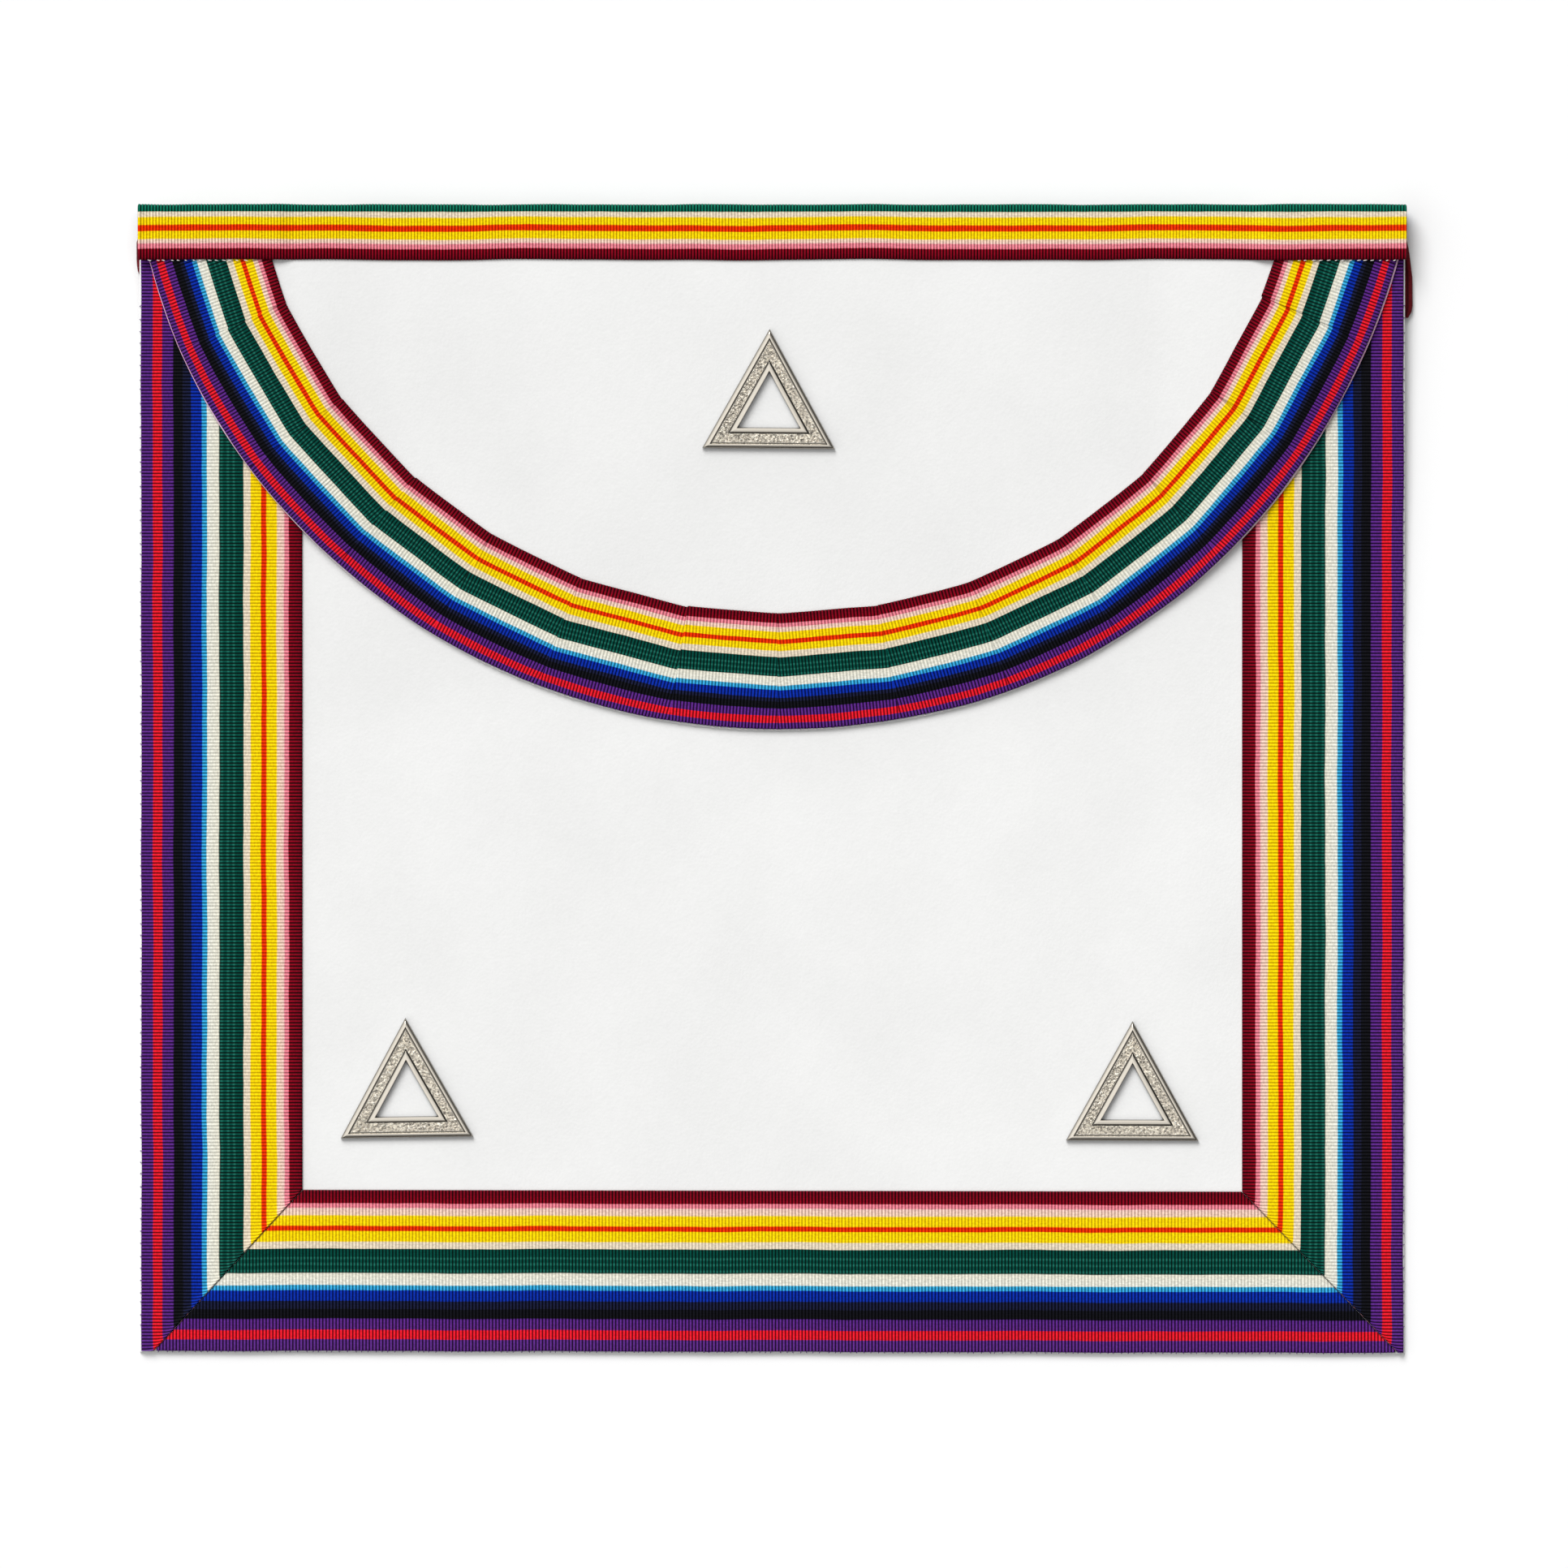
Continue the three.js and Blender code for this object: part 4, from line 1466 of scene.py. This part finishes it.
@dataclass
class WebBelt:
    """The web belt folded away behind the waist: two halves and the clasp that joins them.

    Args: the plan, the belt's width, where it lies, and its ribs.
    """

    plan: ApronPlan
    width: float = 25.6
    drop: float = 10.0
    stub: float = 16.0
    end_gap: float = 4.0
    pitch: float = 1.6
    depth: float = 0.16
    columns: int = 15

    def skin(self, side: Side) -> Skin:
        """Runs one half: a short end under the band, a fold past the panel's side, and the way back.

        Args:
            side: which half.

        Returns:
            Its skin.
        """
        plan = self.plan
        wall = plan.belt_wall
        bend = plan.layer_gap / 2
        outer = bend + wall
        middle = bend + wall / 2
        fold = BELT_FOLDS[side]
        share = np.linspace(0, 1, self.columns)
        bend_x = plan.half_width + fold.reach * np.interp(share, fold.across, fold.shares) - outer
        both_bend = np.concatenate([bend_x, bend_x[::-1]])
        both_share = np.concatenate([share, share[::-1]])
        rim = np.where(np.minimum(both_share, 1 - both_share) < 0.02, 0.35, 1.0)
        rim = rim * np.concatenate([np.ones_like(share), -np.ones_like(share)])
        start = plan.half_width - self.stub
        upper = self.stub - outer
        lower = plan.half_width - self.end_gap / 2
        travel = np.arange(0, upper + math.pi * middle + lower, self.pitch / 4)
        rings: list[tuple[np.ndarray, np.ndarray]] = []
        for gone in travel:
            groove = self.depth * (1 - abs(math.sin(math.pi * gone / self.pitch)) ** 0.7)
            offset = (wall / 2 - groove) * rim
            if gone < upper:
                x = start + (both_bend - start) * gone / upper
                z = outer + middle + offset
            elif gone < upper + math.pi * middle:
                turn = (gone - upper) / middle
                x = both_bend + (middle + offset) * math.sin(turn)
                z = outer + (middle + offset) * math.cos(turn)
            else:
                left = (gone - upper - math.pi * middle) / lower
                x = both_bend + (self.end_gap / 2 - both_bend) * left
                z = outer - middle - offset
            rings.append((x, np.maximum(z, 0.0)))
        x, z = (np.array(part) for part in zip(*rings, strict=True))
        across = np.zeros_like(x) + both_share * self.width
        y = plan.depth - self.drop - across
        return Skin.of(side.value * x, y, z, widened(travel / self.pitch, x), across)

    def build(self, shop: Workshop, webbing: bpy.types.Material, nickel: bpy.types.Material) -> None:
        """Args:
            shop: makes the pieces.
            webbing: the belt's material.
            nickel: the clasp's material.
        """
        for side, name in ((Side.LEFT, "belt_left"), (Side.RIGHT, "belt_right")):
            piece = shop.piece(f"{name}_webbing", [self.skin(side)], webbing, "belt_webbing", name)
        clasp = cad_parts["belt_clasp"]
        clasp.data.materials.clear()
        clasp.data.materials.append(nickel)
        log.info("belt_clasp: plated")


@dataclass(frozen=True)
class RimPoint:
    """A point of a triangle frame's section: shares of its width and of its thickness, its painted shade
    and whether it is grained.
    """

    inset: float
    height: float
    crease: float = 0.0
    grained: float = 0.0


# The third value is painted shade: full in the grooves beside the rims and on the outer and inner walls,
# faint over the ground.
OUTER_RIM = (
    RimPoint(0.0, 0.0, 1.0),
    RimPoint(0.0, 0.52, 1.0),
    RimPoint(0.012, 0.64, 0.8),
    RimPoint(0.045, 0.77, 0.4),
    RimPoint(0.09, 0.88, 0.05),
    RimPoint(0.14, 0.96),
    RimPoint(0.19, 1.0),
    RimPoint(0.202, 0.997, 0.15),
    RimPoint(0.238, 0.7, 1.0),
    RimPoint(0.285, 0.7, 0.6),
)
GROUND = tuple(RimPoint(float(inset), 0.71, 0.1, 1.0) for inset in np.linspace(0.31, 0.69, 11))
INNER_RIM = (
    RimPoint(0.70, 0.7, 0.6),
    RimPoint(0.72, 0.7, 1.0),
    RimPoint(0.745, 0.8, 1.0),
    RimPoint(0.77, 0.87, 0.6),
    RimPoint(0.8, 0.905, 0.1),
    RimPoint(0.86, 0.95),
    RimPoint(0.93, 0.985),
    RimPoint(0.955, 0.985, 0.2),
    RimPoint(0.992, 0.6, 1.0),
    RimPoint(1.0, 0.0, 1.0),
)


@dataclass(frozen=True)
class Seat:
    """Where a triangle sits: its side, how far it is off its place, and its turn in degrees."""

    side: int
    aside: float
    up: float
    turn: float


SEATS = {
    "emblem_flap": Seat(0, -1.15, 0.85, -0.5),
    "emblem_left": Seat(-1, -1.0, 0.5, 0.8),
    "emblem_right": Seat(1, -0.65, -0.5, -0.2),
}


@dataclass
class Triangles:
    """The three die-struck triangles with polished rims round a grained ground.

    Args: the plan and the sizes of one triangle and of its places on the leather.
    """

    plan: ApronPlan
    base: float = 41.8
    height: float = 37.7
    band: float = 6.65
    wall: float = 1.9
    seat_gap: float = 0.3
    top_drop: float = 77.8
    side_gap: float = 34.0
    foot_gap: float = 16.0
    stations: int = 170
    grain_height: float = 0.075
    grain_limits: tuple[float, float] = (-0.12, 0.16)
    first_seed: int = 61

    def skin(self, name: str, seed: int) -> Skin:
        """Strikes one triangle, standing on its base's middle, and lays it in its place.

        Args:
            name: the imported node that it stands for.
            seed: picks its grains.

        Returns:
            Its skin.
        """
        section = [*OUTER_RIM, *GROUND, *INNER_RIM]
        insets, heights, painted_shades, grained = (
            np.array([getattr(point, part) for point in section])
            for part in ("inset", "height", "crease", "grained")
        )
        slant = math.hypot(self.base / 2, self.height)
        inradius = self.base * self.height / (self.base + 2 * slant)
        corners = np.array([[-self.base / 2, 0.0], [self.base / 2, 0.0], [0.0, self.height]])
        centre = np.array([0.0, inradius])
        scale = 1 - insets * self.band / inradius
        rng = np.random.default_rng(seed)
        rings: list[np.ndarray] = []
        for corner in range(3):
            start, stop = corners[corner], corners[(corner + 1) % 3]
            for station in np.linspace(0, 1, self.stations, endpoint=False):
                at = start + (stop - start) * station
                plane = centre + (at - centre)[None, :] * scale[:, None]
                grain = rng.normal(0, 1, len(insets)) * self.grain_height * grained
                raised = heights * self.wall + np.clip(grain, *self.grain_limits)
                rings.append(np.column_stack([plane, raised]))
        x, y, z = np.moveaxis(self.laid(SEATS[name], np.array(rings)), -1, 0)
        # Each point takes its painted shade from the section.
        skin = Skin.of(x, y, z, grained, crease=painted_shades)
        skin.loops_round = True
        return skin

    def laid(self, seat: Seat, local: np.ndarray) -> np.ndarray:
        """Turns, tips and sets a triangle on the leather under it.

        Args:
            seat: its place.
            local: its points.

        Returns:
            The points where they lie.
        """
        plan = self.plan
        on_flap = seat.side == 0
        x = seat.side * (plan.border_inner - self.side_gap) + seat.aside
        y = seat.up + (plan.depth - self.top_drop if on_flap else plan.border_foot_inner + self.foot_gap)
        here, above = np.array(y), np.array(y + self.height)
        if on_flap:
            leather = float(plan.flap_under(np.array(x), here)) + plan.flap_wall
        else:
            leather = float(plan.panel_under(here)) + plan.panel_wall
        tip = math.atan(float(plan.panel_under(above) - plan.panel_under(here)) / self.height)
        turn = math.radians(seat.turn)
        cos_turn, sin_turn, cos_tip, sin_tip = math.cos(turn), math.sin(turn), math.cos(tip), math.sin(tip)
        spin = np.array([[cos_turn, -sin_turn, 0], [sin_turn, cos_turn, 0], [0, 0, 1]])
        lean = np.array([[1, 0, 0], [0, cos_tip, -sin_tip], [0, sin_tip, cos_tip]])
        return local @ (lean @ spin).T + np.array([x, y, leather + self.seat_gap])

    def build(self, shop: Workshop, nickel: bpy.types.Material) -> None:
        """Makes the three triangles of the nickel given."""
        for seed, name in enumerate(SEATS, start=self.first_seed):
            shop.piece(f"{name}_plated", [self.skin(name, seed)], nickel, "emblem_nickel", name)


@dataclass
class Stitching:
    """The hand stitches: along the mitres, over the panel's edges and under the band's hem.

    Args: the plan, the border whose mitres are sewn, and the size and spacing of the stitches.
    """

    plan: ApronPlan
    border: BorderRibbon
    thickness: float = 0.26
    mitre_pitch: float = 2.9
    mitre_stitch: float = 1.8
    mitre_seen: float = 0.42
    mitre_seed: int = 71
    edge_pitch: float = 2.2
    edge_margin: float = 6.0
    edge_over: float = 0.45
    edge_seed: int = 81
    side_pitch: float = 3.74
    side_start: float = 8.0
    side_margin: float = 12.0
    hem_pitch: float = 2.3
    hem_start: float = 166.0
    hem_margin: float = 3.0
    hem_seed: int = 91
    flap_pitch: float = 0.75
    flap_span: tuple[float, float] = (-28.0, 30.0)
    flap_missing: float = 0.3
    flap_seed: int = 95
    rings: int = 7
    sides: int = 6

    def stitch(self, start: Sequence[float], end: Sequence[float], arch: float = 0.12) -> Skin:
        """One arched strand with tapered ends.

        Args:
            start: where it comes out of the cloth.
            end: where it goes back in.
            arch: how high its middle stands over its ends.

        Returns:
            Its closed skin.
        """
        a, b = np.array(start, dtype=float), np.array(end, dtype=float)
        along = (b - a) / np.linalg.norm(b - a)
        beside = np.cross(along, [0, 0, 1.0])
        beside /= np.linalg.norm(beside)
        over = np.cross(beside, along)
        share = np.linspace(0, 1, self.rings)[:, None, None]
        turn = np.linspace(0, 2 * math.pi, self.sides, endpoint=False)[None, :, None]
        radius = self.thickness / 2 * (0.35 + 0.65 * np.sin(math.pi * share) ** 0.5)
        centre = a + (b - a) * share + np.array([0, 0, arch]) * np.sin(math.pi * share)
        points = centre + radius * (np.cos(turn) * beside + np.sin(turn) * over)
        return Skin.of(points[..., 0], points[..., 1], points[..., 2])

    def mitre(self, side: Side) -> list[Skin]:
        """Closes one mitre with stitches that lie in its groove; further in they are blind ones.

        Args:
            side: which mitre.

        Returns:
            The stitches that show.
        """
        plan = self.plan
        lean = plan.corner_lean(side)
        start = np.array([plan.border_outer - self.border.mitre_shift[side], plan.border_foot - lean])
        stop = np.array([plan.border_inner, plan.border_foot_inner - lean])
        length = float(np.linalg.norm(stop - start))
        along = (stop - start) / length
        across = np.array([-along[1], along[0]])
        rng = np.random.default_rng(self.mitre_seed + side.value)
        skins: list[Skin] = []
        seen = self.mitre_seen * length
        count = int(seen // self.mitre_pitch)
        for index in range(count):
            at = (index + 0.5) * seen / count + rng.uniform(-0.3, 0.3)
            half = self.mitre_stitch / 2 * rng.uniform(0.8, 1.1)
            slant = rng.uniform(-0.18, 0.18)
            centre = start + along * at - across * 0.12
            ends = [centre + along * half * way + across * slant * way for way in (-1, 1)]
            base = float(plan.border_under(np.array(float(centre[1])))) + self.border.cloth.wall - 0.22
            skins.append(self.stitch(*([side.value * end[0], end[1], base] for end in ends)))
        return skins

    def edge(self) -> list[Skin]:
        """Catches the border ribbon to the panel's foot and sides.

        Returns:
            The fine stitches.
        """
        plan = self.plan
        rng = np.random.default_rng(self.edge_seed)
        skins: list[Skin] = []
        reach = plan.half_width - self.edge_margin
        for x in np.arange(-reach, reach, self.edge_pitch):
            at = float(x + rng.uniform(-0.5, 0.5))
            skew = rng.uniform(-0.35, 0.35)
            hang = float(plan.foot_lean(np.array(at)))
            top = float(plan.border_under(np.array(0.0))) + self.edge_over
            over = (at, plan.border_foot + 0.1 - hang, top)
            skins.append(self.stitch(over, (at + skew, -hang, plan.panel_wall - 0.1), 0.1))
        for side in Side:
            for y in np.arange(self.side_start, plan.band_hem - self.side_margin, self.side_pitch):
                at = float(y + rng.uniform(-0.6, 0.6))
                skew = rng.uniform(-0.4, 0.4)
                top = float(plan.border_under(np.array(at))) + self.edge_over
                low = float(plan.panel_under(np.array(at))) + plan.panel_wall - 0.1
                over = (side.value * (plan.border_outer - 0.1), at, top)
                skins.append(self.stitch(over, (side.value * plan.half_width, at + skew, low), 0.1))
        return skins

    def hem(self) -> list[Skin]:
        """Catches the band's hem at its two sides.

        Returns:
            The white stitches that show below it.
        """
        plan = self.plan
        rng = np.random.default_rng(self.hem_seed)
        skins: list[Skin] = []
        for side in Side:
            for x in np.arange(self.hem_start, plan.half_width - self.hem_margin, self.hem_pitch):
                at = float(x + rng.uniform(-0.5, 0.5))
                y = plan.band_hem - 0.75
                half = 0.5 * rng.uniform(0.7, 1.3)
                height = float(plan.band_front_under(np.array([at]))[0]) + 0.15
                ends = [(side.value * (at + half * way), y + 0.1 * way, height) for way in (-1, 1)]
                skins.append(self.stitch(*ends, arch=0.1))
        return skins

    def flap(self) -> list[Skin]:
        """Catches the ribbon to the flap's leather at its foot.

        Returns:
            The uneven white stitches, with some missing.
        """
        plan = self.plan
        rng = np.random.default_rng(self.flap_seed)
        edge = FlapEdge()
        skins: list[Skin] = []
        for place in np.arange(*self.flap_span, self.flap_pitch):
            angle = math.radians(place + rng.uniform(-0.2, 0.2))
            half = math.radians(0.21 * rng.uniform(0.5, 1.3))
            if rng.uniform() < self.flap_missing:
                continue
            ends: list[tuple[float, float, float]] = []
            for way in (-1, 1):
                bearing = angle + half * way
                radius = plan.ribbon_outer + float(edge.out(np.array(bearing))) + 0.3 + 0.08 * way
                x = plan.flap_shift + radius * math.sin(bearing)
                y = plan.flap_centre_y - radius * math.cos(bearing)
                under = float(plan.flap_under(np.array(x), np.array(y))) + plan.flap_wall - edge.skive
                ends.append((x, y, under + 0.12))
            skins.append(self.stitch(*ends))
        return skins

    def build(self, shop: Workshop) -> None:
        """Makes each run of stitches as one piece.

        Args:
            shop: makes the pieces.
        """
        dark = SewingThread("polyester_thread_dark_red", "#6d3340").material()
        purple = SewingThread("polyester_thread_purple", "#5b3a74").material()
        white = SewingThread("polyester_thread_white", "#e9e2df").material()
        shop.piece("mitre_stitches_left", self.mitre(Side.LEFT), dark, "border_ribbon")
        shop.piece("mitre_stitches_right", self.mitre(Side.RIGHT), dark, "border_ribbon")
        shop.piece("edge_stitches", self.edge(), purple, "border_ribbon")
        shop.piece("hem_stitches", self.hem(), white, "band_ribbon")
        shop.piece("flap_stitches", self.flap(), white, "flap_ribbon")


@dataclass
class Studio:
    """A pale floor, soft light from the upper left, and a camera straight above.

    Args: the plan, the frame that the camera takes in, the floor, and the key light.
    """

    plan: ApronPlan
    frame_width: float = 494.8
    frame_centre_x: float = 3.71
    frame_centre_y: float = 179.3
    lens: float = 400.0
    sensor: float = 36.0
    floor_size: float = 60.0
    floor_colour: str = "#e8e8e8"
    key_strength: float = 2.78
    key_width: float = 33.0
    key_tilt: tuple[float, float, float] = (-41.0, -22.0, 0.0)
    bright_side: tuple[float, float, float] = (-0.62, 0.38, 0.69)

    AIR = (
        (0.0, "#161616"),
        (0.25, "#262626"),
        (0.47, "#868686"),
        (0.66, "#e0e0e0"),
        (0.78, "#ffffff"),
        (1.0, "#f2f2f2"),
    )

    def floor(self) -> None:
        """A plain white floor that the apron lies on."""
        half = self.floor_size / 2
        corners = [(-half, -half, 0), (half, -half, 0), (half, half, 0), (-half, half, 0)]
        mesh = bpy.data.meshes.new("studio_floor")
        mesh.from_pydata(corners, [], [(0, 1, 2, 3)])
        material, add = new_material("studio_floor_paint")
        paint = {"Base Color": linear(self.floor_colour), "Roughness": 0.9, "Specular IOR Level": 0.2}
        put_surface(add, paint)
        mesh.materials.append(material)
        floor = bpy.data.objects.new("studio_floor", mesh)
        bpy.context.scene.collection.objects.link(floor)

    def light(self) -> None:
        """Soft light from above, brighter from the left, and a broad key light from the upper left."""
        world = bpy.data.worlds.new("studio_air")
        bpy.context.scene.world = world
        world.use_nodes = True
        world.node_tree.nodes.clear()
        add = partial(add_node, world.node_tree)
        towards = add("TexCoord").outputs["Generated"]
        lit = add("VectorMath", {0: towards, 1: self.bright_side}, operation="DOT_PRODUCT").outputs["Value"]
        ramp = add("ValToRGB", {0: add("MapRange", {0: lit, 1: -0.6, 2: 1.0})})
        set_stops(ramp, self.AIR)
        add("OutputWorld", {"Surface": add("Background", {"Color": ramp, "Strength": 1.0})})

        key = bpy.data.lights.new("key_light", "SUN")
        key.energy = self.key_strength
        key.angle = math.radians(self.key_width)
        lamp = bpy.data.objects.new("key_light", key)
        lamp.rotation_euler = [math.radians(turn) for turn in self.key_tilt]
        bpy.context.scene.collection.objects.link(lamp)

    def camera(self) -> None:
        """A long lens looking straight down."""
        lens = bpy.data.cameras.new("camera")
        lens.lens = self.lens
        lens.sensor_width = self.sensor
        lens.clip_start = 0.1
        lens.clip_end = 100.0
        camera = bpy.data.objects.new("camera", lens)
        camera.location = (
            (self.frame_centre_x + self.plan.centre_x) * MM,
            (self.frame_centre_y + self.plan.foot_y) * MM,
            self.frame_width * self.lens / self.sensor * MM,
        )
        bpy.context.scene.collection.objects.link(camera)
        bpy.context.scene.camera = camera

    def build(self) -> None:
        """Sets up the camera, the floor and the light."""
        self.camera()
        self.floor()
        self.light()
        bpy.context.scene.view_settings.view_transform = "Standard"


def main() -> None:
    """Builds the apron's sub-assemblies in order."""
    logging.basicConfig(level=logging.INFO, format="%(name)s: %(message)s")
    plan = ApronPlan.measured()
    shop = Workshop(plan)
    Studio(plan).build()
    border = BorderRibbon(plan)
    nickel = NickelPlate("nickel_plate_struck").material()
    plain_nickel = NickelPlate("nickel_plate_plain", roughness=0.3, relief=0.08).material()
    LeatherPanels(plan).build(shop, Lambskin().material())
    border.build(shop, Grosgrain(Cut.BORDER).material())
    FlapRibbon(plan).build(shop, Grosgrain(Cut.FLAP).material())
    # The band's green is painted brighter over its fold: a painted highlight.
    WaistBand(plan).build(shop, Grosgrain(Cut.BAND, highlit_green="#066a52").material())
    WebBelt(plan).build(shop, CottonWebbing().material(), plain_nickel)
    Triangles(plan).build(shop, nickel)
    Stitching(plan, border).build(shop)
    log.info("%d pieces made", len(shop.made))


if __name__ == "__main__":
    main()
